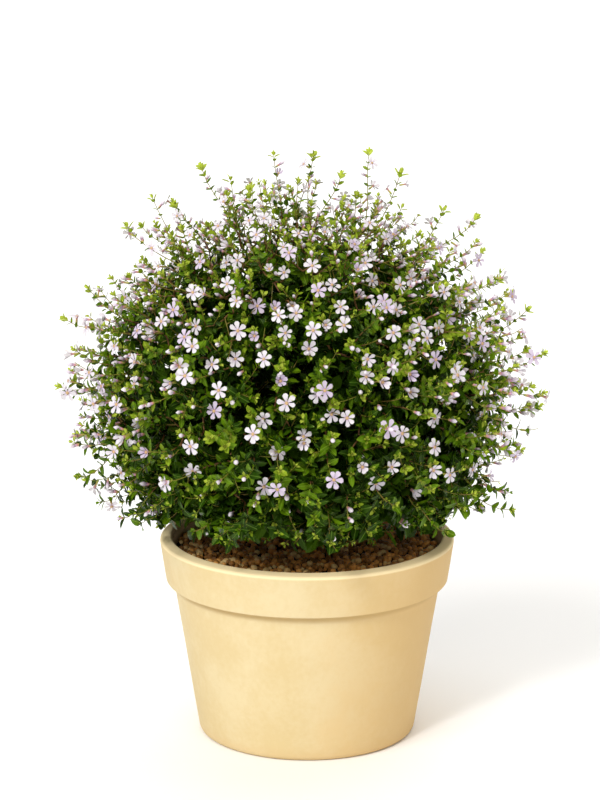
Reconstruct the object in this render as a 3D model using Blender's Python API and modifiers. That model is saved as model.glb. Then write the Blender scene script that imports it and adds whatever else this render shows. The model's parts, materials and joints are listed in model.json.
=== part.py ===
# Cuphea shrub in a banded clay pot, full of small starry flowers.
# Metres, +Z up. The origin is the centre of the pot's flat underside, on the surface that it stands on.

import math
import random

import bmesh
import bpy
from mathutils import Vector
from mathutils.bvhtree import BVHTree

# Clearance between neighbouring solids
GAP = 0.0003

# Pot: a tapered body under a deep banded rim
POT_HEIGHT = 0.1383
RIM_EDGE_HEIGHT = 0.1362
RIM_DIAMETER = 0.2010
RIM_MOUTH_DIAMETER = 0.1852
RIM_FILLET = 0.0024
MOUTH_FILLET = 0.0015
BAND_FOOT_DIAMETER = 0.192
BAND_FOOT_HEIGHT = 0.1070
BAND_FILLET = 0.0016
BODY_TOP_DIAMETER = 0.182
BODY_TOP_HEIGHT = 0.1064
BASE_DIAMETER = 0.1476
BASE_FILLET = 0.0045
FLOOR_THICKNESS = 0.010
FLOOR_DIAMETER = 0.136
FLOOR_FILLET = 0.005
POT_STEPS = 32
DRAIN_HOLES = 3
DRAIN_HOLE_RADIUS = 0.006
DRAIN_CIRCLE_RADIUS = 0.036
DRAIN_SIDES = 10

# Growing medium, filled to a little under the rim
SOIL_TOP = 0.128
SOIL_RELIEF = 0.0011
SOIL_RINGS = 5
SOIL_STEPS = 20

# Crown: an ellipsoid of shoot tips round a heart that the limbs fill
CROWN_CENTRE = Vector((-0.006, 0.0, 0.237))
CROWN_RADIUS = 0.157
CROWN_HALF_HEIGHT = 0.142
HEART_SHARE = 0.42
CORE_SHARE = 0.78
CORE_ROUGHNESS = 0.03
CORE_POINTS = 320
TUFT_SHARE = 0.08
TUFT_LEAST_PULL = 0.2
CORE_CLEARANCE = 0.003
LIFT_ROUNDS = 6
CORE_SETBACK = 0.005
SKIRT_RADIUS = 0.080
SKIRT_CLEARANCE = 0.0055
SKIRT_RISE = 0.10
SKIRT_RISE_FRONT = 0.32

# Trunk: a short leaning stem, flared into roots at the soil
TRUNK_FOOT = Vector((-0.003, 0.002, SOIL_TOP + GAP))
TRUNK_HEAD = Vector((-0.006, 0.0, 0.174))
TRUNK_FOOT_RADIUS = 0.0092
TRUNK_HEAD_RADIUS = 0.0064
TRUNK_SIDES = 12
FLARE_HEIGHT = 0.012
FLARE_SHARE = 0.45
FLARE_LOBES = 5

# Rings of foliage masses: name, count, elevation and first azimuth in degrees, and the share of the trunk's
# height that their boughs leave it at
MASS_RINGS = (
    ("top", 1, 90.0, 0.0, 1.0),
    ("shoulder", 5, 37.0, 18.0, 0.78),
    ("skirt", 7, -7.0, -77.0, 0.48),
)
BOUGH_BASE_RADIUS = 0.0026
BOUGH_TIP_RADIUS = 0.0019
BOUGH_SIDES = 6
BOUGH_POINTS = 4
BOUGH_STAGGER = 0.15
BOUGH_RISE = 35.0
BOUGH_COLLAR_SHARE = 0.75

# Shoots, leaves and flowers, fewer and larger than life
SHOOTS = 84
SHOOT_LOWEST = -0.70
SHOOT_LEAST_SHARE = 0.95
SHOOT_MOST_SHARE = 1.06
SHOOT_CLEARANCE = 0.002
FORK_SHARES = (0.52, 0.60, 0.67, 0.73, 0.77)
FORK_TAPER = 0.82
# For each limb of a fork: how far back it starts, in radii, and its share of the radius
FORK_LIMBS = ((0.5, 0.96), (1.2, 0.88))
TWIG_SIDES = 3
TWIG_TIP_RADIUS = 0.0010
STEM_RADIUS = 0.0019
STEM_LENGTH = 0.014
STEM_OVERLAP = 0.002
TWIG_BASE_SHARE = 0.85
LEAF_PAIRS = 2
LEAF_SPACING = 0.0125
LEAF_LENGTH = 0.026
LEAF_WIDTH = 0.0125
LEAF_THICKNESS = 0.0012
LEAF_FIRST_PLACE = 0.2
LEAF_WIDEST_SHARE = 0.42
LEAF_ANGLE = math.radians(51.5)
LEAF_GROWTH = 0.16
PAIR_STAGGER = 0.0013
# Turns about the twig, in radians, that a leaf tries until it finds free room
LEAF_TURNS = (0.0, 0.5, -0.5, 1.0, -1.0)
TIP_LEAF_SHARE = 0.65
TIP_LEAF_SINK = 0.0008
FLOWER_RADIUS = 0.0092
FLOWER_THROAT = 0.0036
FLOWER_DEPTH = 0.0018
FLOWER_DROOP = 0.35
PETALS = 6
SEWING_DISTANCE = 1e-7
SEED = 11

# How far the longest shoots stand before or behind the pot's axis, and the fall of the line of sight to them
LONG_SHOOT_DEPTH = 0.035
LONG_SHARE = 1.06
SIGHT_SLOPE = 0.24
TIP_SPACING = 0.016
# Longest shoots, as the distance to the right of the pot's centre and the height of each tip
LONG_SHOOTS = (
    (-0.070, 0.389),
    (-0.051, 0.382),
    (-0.0225, 0.401),
    (0.004, 0.397),
    (0.0225, 0.384),
    (0.041, 0.400),
    (0.061, 0.384),
    (0.091, 0.361),
    (0.113, 0.356),
    (-0.104, 0.371),
    (-0.163, 0.287),
    (-0.171, 0.240),
    (0.157, 0.263),
    (0.159, 0.227),
    (-0.157, 0.207),
    (0.143, 0.197),
)

# Colours
CLAY = (0.83, 0.65, 0.37, 0.72)
SOIL = (0.095, 0.040, 0.022, 0.95)
BARK = (0.16, 0.075, 0.04, 0.85)
LEAF_GREEN = (0.055, 0.14, 0.018, 0.45)
PETAL_LILAC = (0.80, 0.72, 0.86, 0.60)


def clear_scene():
    for obj in list(bpy.data.objects):
        bpy.data.objects.remove(obj)


def new_collection(name):
    collection = bpy.data.collections.new(name)
    bpy.context.scene.collection.children.link(collection)
    return collection


def new_material(name, finish):
    red, green, blue, roughness = finish
    material = bpy.data.materials.new(name)
    material.use_nodes = True
    shader = material.node_tree.nodes["Principled BSDF"]
    shader.inputs["Base Color"].default_value = (red, green, blue, 1.0)
    shader.inputs["Roughness"].default_value = roughness
    shader.inputs["Metallic"].default_value = 0.0
    material.diffuse_color = (red, green, blue, 1.0)
    return material


def add_object(name, mesh, collection, material):
    obj = bpy.data.objects.new(name, mesh)
    mesh.materials.clear()
    mesh.materials.append(material)
    collection.objects.link(obj)
    return obj


def evaluated_mesh(obj):
    """The object's mesh with its modifiers applied."""
    graph = bpy.context.evaluated_depsgraph_get()
    return bpy.data.meshes.new_from_object(obj.evaluated_get(graph))


def mesh_of(name, bm):
    bmesh.ops.recalc_face_normals(bm, faces=bm.faces)
    mesh = bpy.data.meshes.new(name)
    bm.to_mesh(mesh)
    bm.free()
    return mesh


# Turned shapes


def filleted(corners):
    """The outline through (radius, height, fillet, steps) corners, with each fillet as an arc."""
    outline = []
    for index, (radius, height, fillet, steps) in enumerate(corners):
        corner = Vector((radius, height))
        if not fillet:
            outline.append(corner)
            continue
        before = (Vector(corners[index - 1][:2]) - corner).normalized()
        after = (Vector(corners[index + 1][:2]) - corner).normalized()
        half_angle = before.angle(after) / 2
        centre = corner + (before + after).normalized() * (fillet / math.sin(half_angle))
        reach = fillet / math.tan(half_angle)
        start = corner + before * reach - centre
        end = corner + after * reach - centre
        for step in range(steps + 1):
            outline.append(centre + start.slerp(end, step / steps).normalized() * fillet)
    return outline


def turned_object(name, outline, steps, collection, material):
    """An outline of (radius, height) points, from the axis out and back, turned about Z."""
    mesh = bpy.data.meshes.new(name)
    edges = [(index, index + 1) for index in range(len(outline) - 1)]
    mesh.from_pydata([(point.x, 0.0, point.y) for point in outline], edges, [])
    obj = add_object(name, mesh, collection, material)
    screw = obj.modifiers.new("Turn", "SCREW")
    screw.steps = steps
    screw.render_steps = steps
    screw.use_merge_vertices = True
    screw.merge_threshold = 0.00001
    screw.use_smooth_shade = True
    return obj


def mouth_radius(height):
    """The pot's inner radius at a height above its floor."""
    share = (height - FLOOR_THICKNESS) / (POT_HEIGHT - FLOOR_THICKNESS)
    return (FLOOR_DIAMETER + (RIM_MOUTH_DIAMETER - FLOOR_DIAMETER) * share) / 2


def add_drain_cutters(cutters):
    for index in range(DRAIN_HOLES):
        angle = math.tau * index / DRAIN_HOLES
        place = (
            DRAIN_CIRCLE_RADIUS * math.cos(angle),
            DRAIN_CIRCLE_RADIUS * math.sin(angle),
            FLOOR_THICKNESS / 2,
        )
        bpy.ops.mesh.primitive_cylinder_add(
            vertices=DRAIN_SIDES, radius=DRAIN_HOLE_RADIUS, depth=3 * FLOOR_THICKNESS, location=place
        )
        cutter = bpy.context.object
        cutter.name = f"drain_cutter_{index + 1}"
        cutter.display_type = "WIRE"
        cutter.hide_render = True
        for holder in cutter.users_collection:
            holder.objects.unlink(cutter)
        cutters.objects.link(cutter)


def add_pot(collection, cutters, material):
    outline = filleted(
        [
            (0.0, FLOOR_THICKNESS, 0.0, 0),
            (FLOOR_DIAMETER / 2, FLOOR_THICKNESS, FLOOR_FILLET, 2),
            (RIM_MOUTH_DIAMETER / 2, POT_HEIGHT, MOUTH_FILLET, 2),
            (RIM_DIAMETER / 2, RIM_EDGE_HEIGHT, RIM_FILLET, 3),
            (BAND_FOOT_DIAMETER / 2, BAND_FOOT_HEIGHT, BAND_FILLET, 3),
            (BODY_TOP_DIAMETER / 2, BODY_TOP_HEIGHT, 0.0, 0),
            (BASE_DIAMETER / 2, 0.0, BASE_FILLET, 2),
            (0.0, 0.0, 0.0, 0),
        ]
    )
    pot = turned_object("pot", outline, POT_STEPS, collection, material)
    add_drain_cutters(cutters)
    holes = pot.modifiers.new("Drain holes", "BOOLEAN")
    holes.operation = "DIFFERENCE"
    holes.operand_type = "COLLECTION"
    holes.collection = cutters


def add_soil(collection, material):
    """The filling inside the pot, with a level spot for the trunk and gentle relief around it."""
    edge_radius = mouth_radius(SOIL_TOP) - 2 * GAP
    ring_width = edge_radius / SOIL_RINGS
    corners = [(ring * ring_width, SOIL_TOP, 0.0, 0) for ring in range(SOIL_RINGS + 1)]
    corners += [
        (FLOOR_DIAMETER / 2 - GAP, FLOOR_THICKNESS + GAP, FLOOR_FILLET, 2),
        (0.0, FLOOR_THICKNESS + GAP, 0.0, 0),
    ]
    turned = turned_object("soil_turned", filleted(corners), SOIL_STEPS, collection, material)
    mesh = evaluated_mesh(turned)
    bpy.data.objects.remove(turned)
    relief = random.Random(SEED)
    level_radius = 1.5 * ring_width
    for vertex in mesh.vertices:
        radius = math.hypot(vertex.co.x, vertex.co.y)
        on_top = vertex.co.z > SOIL_TOP - 1e-5
        if on_top and level_radius < radius < edge_radius - 1e-4:
            vertex.co.z += relief.uniform(-SOIL_RELIEF, SOIL_RELIEF)
    add_object("soil", mesh, collection, material)


# Limbs


def bezier(start, control, end, share):
    return start.lerp(control, share).lerp(control.lerp(end, share), share)


def ring_profile(sides):
    """A closed polygon of radius 1 that a limb's curve is bevelled with."""
    curve = bpy.data.curves.new(f"profile_{sides}", "CURVE")
    spline = curve.splines.new("POLY")
    spline.points.add(sides - 1)
    for index, point in enumerate(spline.points):
        angle = math.tau * index / sides
        point.co = (math.cos(angle), math.sin(angle), 0.0, 1.0)
    spline.use_cyclic_u = True
    return bpy.data.objects.new(f"profile_{sides}", curve)


def limb_mesh(name, path, radii, sides):
    """One closed tapering limb along a path, from a bevelled curve with filled caps."""
    curve = bpy.data.curves.new(name, "CURVE")
    curve.dimensions = "3D"
    curve.bevel_mode = "OBJECT"
    curve.bevel_object = ring_profile(sides)
    curve.use_fill_caps = True
    spline = curve.splines.new("POLY")
    spline.points.add(len(path) - 1)
    for point, place, radius in zip(spline.points, path, radii):
        point.co = (*place, 1.0)
        point.radius = radius
    holder = bpy.data.objects.new(name, curve)
    bpy.context.scene.collection.objects.link(holder)
    bm = bmesh.new()
    bm.from_mesh(evaluated_mesh(holder))
    bpy.data.objects.remove(curve.bevel_object)
    bpy.data.objects.remove(holder)
    bmesh.ops.remove_doubles(bm, verts=bm.verts, dist=1e-6)
    return mesh_of(name, bm)


def straight_mesh(name, start, end, radius, end_radius, sides):
    """One closed straight limb, from a cone with its tip cut off."""
    bm = bmesh.new()
    length = (end - start).length
    bmesh.ops.create_cone(
        bm, cap_ends=True, segments=sides, radius1=radius, radius2=end_radius, depth=length
    )
    turn = (end - start).to_track_quat("Z", "Y")
    middle = (start + end) / 2
    for vertex in bm.verts:
        vertex.co = middle + turn @ vertex.co
    return mesh_of(name, bm)


def trunk_mesh(name, swell):
    """The trunk, or with a swell the larger shape that its boughs are cut clear of."""
    shares = (0.0, 0.08, 0.22, 0.45, 0.72, 1.0)
    path = [TRUNK_FOOT.lerp(TRUNK_HEAD, share) for share in shares]
    slimming = TRUNK_HEAD_RADIUS - TRUNK_FOOT_RADIUS
    radii = [TRUNK_FOOT_RADIUS + slimming * share + swell for share in shares]
    path[-1] = path[-1] + (TRUNK_HEAD - TRUNK_FOOT).normalized() * swell
    mesh = limb_mesh(name, path, radii, TRUNK_SIDES)
    for vertex in mesh.vertices:
        height = vertex.co.z - TRUNK_FOOT.z
        low = max(0.0, 1.0 - height / FLARE_HEIGHT) ** 2
        side = vertex.co - TRUNK_FOOT
        angle = math.atan2(side.y, side.x)
        flare = low * FLARE_SHARE * (1.0 + 0.4 * math.cos(FLARE_LOBES * angle))
        vertex.co.x = TRUNK_FOOT.x + side.x * (1.0 + flare)
        vertex.co.y = TRUNK_FOOT.y + side.y * (1.0 + flare)
        if height < 1e-3:
            vertex.co.z = TRUNK_FOOT.z
    return mesh


def add_bough(name, heading, height_share, cutter, collection, material):
    """A limb from the trunk to its mass. Gives the place and heading of the stem that goes on."""
    tip = crown_point(heading, HEART_SHARE)
    start = TRUNK_FOOT.lerp(TRUNK_HEAD, height_share)
    upright = (TRUNK_HEAD - TRUNK_FOOT).normalized()
    ends_on_head = height_share == 1.0
    if ends_on_head:
        start = TRUNK_HEAD + upright * GAP
        leaving = upright
    else:
        leaving = direction(math.atan2(heading.y, heading.x), math.radians(BOUGH_RISE))
    control = start + leaving * (0.5 * (tip - start).length)
    shares = [step / (BOUGH_POINTS - 1) for step in range(BOUGH_POINTS)]
    path = [bezier(start, control, tip, share) for share in shares]
    radii = [BOUGH_BASE_RADIUS + (BOUGH_TIP_RADIUS - BOUGH_BASE_RADIUS) * share for share in shares]
    if ends_on_head:
        path.insert(1, start + upright * TRUNK_HEAD_RADIUS)
        radii.insert(0, BOUGH_COLLAR_SHARE * TRUNK_HEAD_RADIUS)
    mesh = limb_mesh(f"bough_{name}", path, radii, BOUGH_SIDES)
    bough = add_object(f"bough_{name}", mesh, collection, material)
    if not ends_on_head:
        cut = bough.modifiers.new("Clear of trunk", "BOOLEAN")
        cut.operation = "DIFFERENCE"
        cut.object = cutter
    outward = (path[-1] - path[-2]).normalized()
    return tip + outward * GAP, outward


# The crown's space


def direction(azimuth, elevation):
    level = math.cos(elevation)
    return Vector((math.cos(azimuth) * level, math.sin(azimuth) * level, math.sin(elevation)))


def crown_point(heading, share):
    """The point at a share of the crown's reach along a heading from its centre."""
    size = Vector((CROWN_RADIUS, CROWN_RADIUS, CROWN_HALF_HEIGHT))
    scaled = Vector((heading.x / size.x, heading.y / size.y, heading.z / size.z))
    return CROWN_CENTRE + heading * (share / scaled.length)


def crown_share(place):
    """How far out a place is: 0 at the crown's centre, 1 at its usual shoot tips."""
    side = place - CROWN_CENTRE
    return Vector((side.x / CROWN_RADIUS, side.y / CROWN_RADIUS, side.z / CROWN_HALF_HEIGHT)).length


def underside(place):
    """The lowest that foliage hangs: near the soil inside the pot, clear of the rim, lifted in front."""
    radius = math.hypot(place.x, place.y)
    in_pot = SOIL_TOP + SKIRT_CLEARANCE
    over_rim = POT_HEIGHT + SKIRT_CLEARANCE
    blend = min(1.0, max(0.0, (radius - 0.6 * SKIRT_RADIUS) / (0.35 * SKIRT_RADIUS)))
    frontness = max(0.0, -place.y / radius) ** 2 if radius else 0.0
    rise = SKIRT_RISE + SKIRT_RISE_FRONT * frontness
    return in_pot + (over_rim - in_pot) * blend + rise * max(0.0, radius - SKIRT_RADIUS)


def mass_headings():
    """The name, heading and bough height share of each foliage mass."""
    masses = []
    for ring, count, elevation, first, share in MASS_RINGS:
        for index in range(count):
            azimuth = math.radians(first + 360.0 * index / count)
            name = ring if count == 1 else f"{ring}_{index + 1}"
            stagger = BOUGH_STAGGER * (index % 2) if count > 1 else 0.0
            masses.append((name, direction(azimuth, math.radians(elevation)), share - stagger))
    return masses


def in_space(place, heading, rivals, clearance=GAP):
    """True where a place is in a mass's own part of the crown."""
    if crown_share(place) < HEART_SHARE + GAP / CROWN_RADIUS or place.z < underside(place):
        return False
    side = place - CROWN_CENTRE
    return all(side.dot((rival - heading).normalized()) < -clearance for rival in rivals)


def fits(mesh, heading, rivals):
    return all(in_space(vertex.co, heading, rivals) for vertex in mesh.vertices)


# Cores


def spread_headings(count, lowest, chance):
    """Headings spread evenly over a sphere by the golden angle, from straight up down to a lowest sine."""
    golden = math.pi * (3.0 - math.sqrt(5.0))
    headings = []
    for index in range(count):
        height = 1.0 - (1.0 - lowest) * (index + 0.5) / count
        headings.append(direction(index * golden + chance.uniform(-0.08, 0.08), math.asin(height)))
    return headings


def above_underside(place, clearance):
    """The place, drawn in towards the crown's centre as far as it takes to clear the underside."""
    for _ in range(LIFT_ROUNDS):
        low = underside(place) + clearance
        if place.z < low:
            share = (CROWN_CENTRE.z - low) / (CROWN_CENTRE.z - place.z)
            place = CROWN_CENTRE + (place - CROWN_CENTRE) * share
    return place


def crown_body():
    """The bulk of the whole crown as one closed tufted ball, which every mass takes its core from."""
    body = bmesh.new()
    rough = random.Random(SEED)
    for heading in spread_headings(CORE_POINTS, -1.0, rough):
        body.verts.new(heading)
    bmesh.ops.convex_hull(body, input=body.verts)
    bases = list(body.verts)
    for tuft in bmesh.ops.poke(body, faces=body.faces)["verts"]:
        corners = [link.other_vert(tuft).co for link in tuft.link_edges]
        pulls = [corner * rough.uniform(TUFT_LEAST_PULL, 1.0) for corner in corners]
        tuft.co = sum(pulls, Vector())
    for vertex in body.verts:
        share = CORE_SHARE + rough.uniform(-CORE_ROUGHNESS, CORE_ROUGHNESS)
        if vertex not in bases:
            share += TUFT_SHARE * rough.uniform(0.5, 1.2)
        vertex.co = above_underside(crown_point(vertex.co.normalized(), share), CORE_CLEARANCE)
    return mesh_of("crown_body", body)


def space_mesh(heading, rivals):
    """A mass's own space in the crown: a large block cut flat towards the heart and towards each rival."""
    bm = bmesh.new()
    bmesh.ops.create_cube(bm, size=4 * CROWN_RADIUS)
    bmesh.ops.translate(bm, verts=bm.verts, vec=CROWN_CENTRE)
    cuts = [(crown_point(heading, HEART_SHARE) + heading * CORE_SETBACK, -heading)]
    for rival in rivals:
        normal = (rival - heading).normalized()
        cuts.append((CROWN_CENTRE - normal * GAP, normal))
    for place, normal in cuts:
        parts = bm.verts[:] + bm.edges[:] + bm.faces[:]
        cut = bmesh.ops.bisect_plane(
            bm, geom=parts, dist=1e-6, plane_co=place, plane_no=normal, clear_outer=True
        )
        rim = [part for part in cut["geom_cut"] if isinstance(part, bmesh.types.BMEdge)]
        if rim:
            bmesh.ops.contextual_create(bm, geom=rim)
    return mesh_of("space", bm)


# Shoots


def shoot_tips(masses):
    """The tips of the longest shoots and of others spread over the crown, listed by mass."""
    chance = random.Random(SEED)
    places = []
    for x, z in LONG_SHOOTS:
        depth = chance.uniform(-LONG_SHOOT_DEPTH, LONG_SHOOT_DEPTH)
        places.append(Vector((x, depth, z - SIGHT_SLOPE * depth)))
    longest = list(places)
    for heading in spread_headings(SHOOTS, SHOOT_LOWEST, chance):
        place = crown_point(heading, chance.uniform(SHOOT_LEAST_SHARE, SHOOT_MOST_SHARE))
        place.z = max(place.z, underside(place) + chance.uniform(0.003, 0.010))
        if all((place - other).length > TIP_SPACING for other in longest):
            places.append(place)
    dealt = {name: [] for name, _, _ in masses}
    for place in places:
        name, heading, _ = max(masses, key=lambda mass: (place - CROWN_CENTRE).dot(mass[1]))
        rivals = [mass[1] for mass in masses if mass[0] != name]
        if in_space(place, heading, rivals, SHOOT_CLEARANCE):
            dealt[name].append(place)
    return dealt


def grow(base, tips, level, radius, limbs):
    """A limb towards the middle of its tips, forked on the next shell out, until each tip has its shoot."""
    if len(tips) == 1:
        limbs.append((base, tips[0], radius, TWIG_TIP_RADIUS, True))
        return
    middle = sum(tips, Vector()) / len(tips)
    end = crown_point((middle - CROWN_CENTRE).normalized(), FORK_SHARES[level])
    end_radius = max(FORK_TAPER * radius, 1.3 * TWIG_TIP_RADIUS)
    limbs.append((base, end, radius, end_radius, False))
    furthest = max(tips, key=lambda tip: (tip - middle).length)
    spread = (furthest - middle).normalized()
    ranked = sorted(tips, key=lambda tip: (tip - middle).dot(spread))
    half = len(ranked) // 2
    onward = (end - base).normalized()
    for group, (setback, share) in zip((ranked[:half], ranked[half:]), FORK_LIMBS):
        grow(end - onward * (setback * end_radius), group, level + 1, end_radius * share, limbs)


def across_of(along, angle):
    """A unit vector square to a limb, turned about it by an angle."""
    seen = Vector((0.0, 0.0, 1.0)) if abs(along.z) < 0.9 else Vector((1.0, 0.0, 0.0))
    side = along.cross(seen).normalized()
    return side * math.cos(angle) + side.cross(along).normalized() * math.sin(angle)


def leaf_mesh(root, along, up, length):
    """A pointed leaf folded along its midrib, from a four-sided pyramid laid on its side."""
    bm = bmesh.new()
    bmesh.ops.create_cone(bm, cap_ends=True, segments=4, radius1=1.0, radius2=0.0, depth=1.0)
    across = along.cross(up).normalized()
    up = across.cross(along).normalized()
    half_width = LEAF_WIDTH / LEAF_LENGTH * length / 2
    widest = LEAF_WIDEST_SHARE * length
    keel = []
    for vertex in bm.verts:
        x, y, z = vertex.co
        if z > 0.0:
            run, side, lift = widest, 0.0, LEAF_THICKNESS
        elif abs(x) > abs(y):
            run, side, lift = (length if x > 0.0 else 0.0), 0.0, (-0.1 * length if x > 0.0 else 0.0)
            keel.append(vertex)
        else:
            run, side, lift = widest, math.copysign(half_width, y), 0.30 * half_width
        vertex.co = root + along * run + across * side + up * lift
    bmesh.ops.connect_verts(bm, verts=keel)
    return mesh_of("leaf", bm)


def flower_mesh(centre, facing):
    """A six-petalled star with a raised middle and a flat back, from a cone drawn in between its petals."""
    bm = bmesh.new()
    bmesh.ops.create_cone(bm, cap_ends=True, segments=2 * PETALS, radius1=1.0, radius2=0.0, depth=1.0)
    turn = facing.to_track_quat("Z", "Y")
    for vertex in bm.verts:
        if vertex.co.z > 0.0:
            shaped = Vector((0.0, 0.0, FLOWER_DEPTH))
        else:
            angle = math.atan2(vertex.co.y, vertex.co.x)
            valley = round(angle * PETALS / math.pi) % 2
            radius = FLOWER_THROAT if valley else FLOWER_RADIUS
            shaped = Vector((math.cos(angle), math.sin(angle), 0.0)) * radius
        vertex.co = centre + turn @ shaped
    return mesh_of("flower", bm)


def tree_of(mesh):
    places = [vertex.co for vertex in mesh.vertices]
    return BVHTree.FromPolygons(places, [face.vertices for face in mesh.polygons])


def placed(mesh, heading, rivals, taken):
    """Takes the mesh's place among the others if it is free and in the mass's own space."""
    tree = tree_of(mesh)
    if not fits(mesh, heading, rivals) or any(tree.overlap(other) for other in taken):
        return False
    taken.append(tree)
    return True


def clothed_shoot(base, tip, heading, rivals, chance, flowers, taken):
    """Where one shoot's twig ends, and its flower or end leaf and the pairs of leaves below it."""
    along = (tip - base).normalized()
    turn = chance.uniform(0.0, math.pi)
    outward = (tip - CROWN_CENTRE).normalized()
    end = tip - along * FLOWER_RADIUS * 0.5
    carried = []
    facing = (outward + along * 0.5 - Vector((0.0, 0.0, FLOWER_DROOP))).normalized()
    bloom = flower_mesh(end - facing * (0.4 * FLOWER_DEPTH), facing)
    is_long = crown_share(tip) > LONG_SHARE
    if flowers and not is_long and placed(bloom, heading, rivals, taken):
        carried.append((bloom, "petal"))
    else:
        tip_leaf = TIP_LEAF_SHARE * LEAF_LENGTH
        end = tip - along * tip_leaf
        leaf = leaf_mesh(end - along * TIP_LEAF_SINK, along, across_of(along, turn), tip_leaf)
        if placed(leaf, heading, rivals, taken):
            carried.append((leaf, "leaf"))
    for pair in range(LEAF_PAIRS + is_long):
        for side in (0, 1):
            place = end - along * (LEAF_SPACING * (pair + LEAF_FIRST_PLACE) + PAIR_STAGGER * side)
            if (place - base).dot(along) < 0.0:
                continue
            length = LEAF_LENGTH * chance.uniform(0.85, 1.05) * (1.0 + LEAF_GROWTH * (pair - 1))
            for trial in LEAF_TURNS:
                out = across_of(along, turn + pair * math.pi / 2 + side * math.pi + trial)
                lean = along * math.cos(LEAF_ANGLE) + out * math.sin(LEAF_ANGLE)
                leaf = leaf_mesh(place, lean, along, length)
                if placed(leaf, heading, rivals, taken):
                    carried.append((leaf, "leaf"))
                    break
    return end, carried


# Masses


def keep_main_body(mesh):
    """Sews the fused mesh and drops loose scraps and sealed hollows, so that one closed body is left."""
    bm = bmesh.new()
    bm.from_mesh(mesh)
    bmesh.ops.remove_doubles(bm, verts=bm.verts, dist=SEWING_DISTANCE)
    unseen = set(bm.verts)
    largest = set()
    while unseen:
        body = set()
        waiting = [unseen.pop()]
        while waiting:
            vertex = waiting.pop()
            body.add(vertex)
            near = {link.other_vert(vertex) for link in vertex.link_edges} & unseen
            unseen -= near
            waiting.extend(near)
        largest = max(largest, body, key=len)
    scraps = [vertex for vertex in bm.verts if vertex not in largest]
    bmesh.ops.delete(bm, geom=scraps, context="VERTS")
    bmesh.ops.triangulate(bm, faces=bm.faces)
    bm.to_mesh(mesh)
    bm.free()


def add_mass(name, heading, rivals, tips, joint, body, collection, materials):
    """One mass of foliage: its stem, twigs, leaves and flowers, fused to the core that they stand out of."""
    place, outward = joint
    loose = new_collection(f"{name}_loose")
    limbs = []
    stem_end = place + outward * STEM_LENGTH
    grow(stem_end, tips, 0, TWIG_BASE_SHARE * STEM_RADIUS, limbs)
    overlap = outward * STEM_OVERLAP
    stem = straight_mesh("stem", place, stem_end + overlap, STEM_RADIUS, STEM_RADIUS, BOUGH_SIDES)
    add_object("stem", stem, loose, materials["bark"])
    chance = random.Random(f"{name} {SEED}")
    taken = []
    for number, (base, end, radius, end_radius, is_shoot) in enumerate(limbs):
        if is_shoot:
            end, carried = clothed_shoot(base, end, heading, rivals, chance, number % 3 > 0, taken)
            for mesh, material in carried:
                add_object(material, mesh, loose, materials[material])
        twig = straight_mesh("twig", base, end, radius, end_radius, TWIG_SIDES)
        add_object("twig", twig, loose, materials["bark"])
    space = add_object("space", space_mesh(heading, rivals), loose, materials["leaf"])
    loose.objects.unlink(space)
    core = add_object("core", body.copy(), collection, materials["leaf"])
    share = core.modifiers.new("Own space", "BOOLEAN")
    share.operation = "INTERSECT"
    share.object = space
    union = core.modifiers.new("Fuse", "BOOLEAN")
    union.operation = "UNION"
    union.operand_type = "COLLECTION"
    union.collection = loose
    union.material_mode = "TRANSFER"
    fused = evaluated_mesh(core)
    for obj in [*loose.objects, space, core]:
        bpy.data.objects.remove(obj)
    bpy.data.collections.remove(loose)
    keep_main_body(fused)
    fused.name = f"foliage_{name}"
    collection.objects.link(bpy.data.objects.new(f"foliage_{name}", fused))


def main():
    clear_scene()
    collection = new_collection("Cuphea_shrub_in_pot")
    cutters = new_collection("Drain_cutters")
    guides = new_collection("Guides")
    materials = {
        "clay": new_material("buff_clay", CLAY),
        "soil": new_material("growing_medium", SOIL),
        "bark": new_material("bark", BARK),
        "leaf": new_material("leaf_green", LEAF_GREEN),
        "petal": new_material("petal_lilac", PETAL_LILAC),
    }
    add_pot(collection, cutters, materials["clay"])
    add_soil(collection, materials["soil"])
    add_object("trunk", trunk_mesh("trunk", 0.0), collection, materials["bark"])
    cutter = add_object("trunk_cutter", trunk_mesh("trunk_cutter", GAP), guides, materials["bark"])
    cutter.display_type = "WIRE"
    cutter.hide_render = True
    masses = mass_headings()
    tips = shoot_tips(masses)
    body = crown_body()
    for name, heading, height_share in masses:
        joint = add_bough(name, heading, height_share, cutter, collection, materials["bark"])
        rivals = [mass[1] for mass in masses if mass[0] != name]
        add_mass(name, heading, rivals, tips[name], joint, body, collection, materials)


main()
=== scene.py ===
import json
import math
import random

import bmesh
import bpy
from mathutils import Matrix, Vector, kdtree, noise

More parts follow.
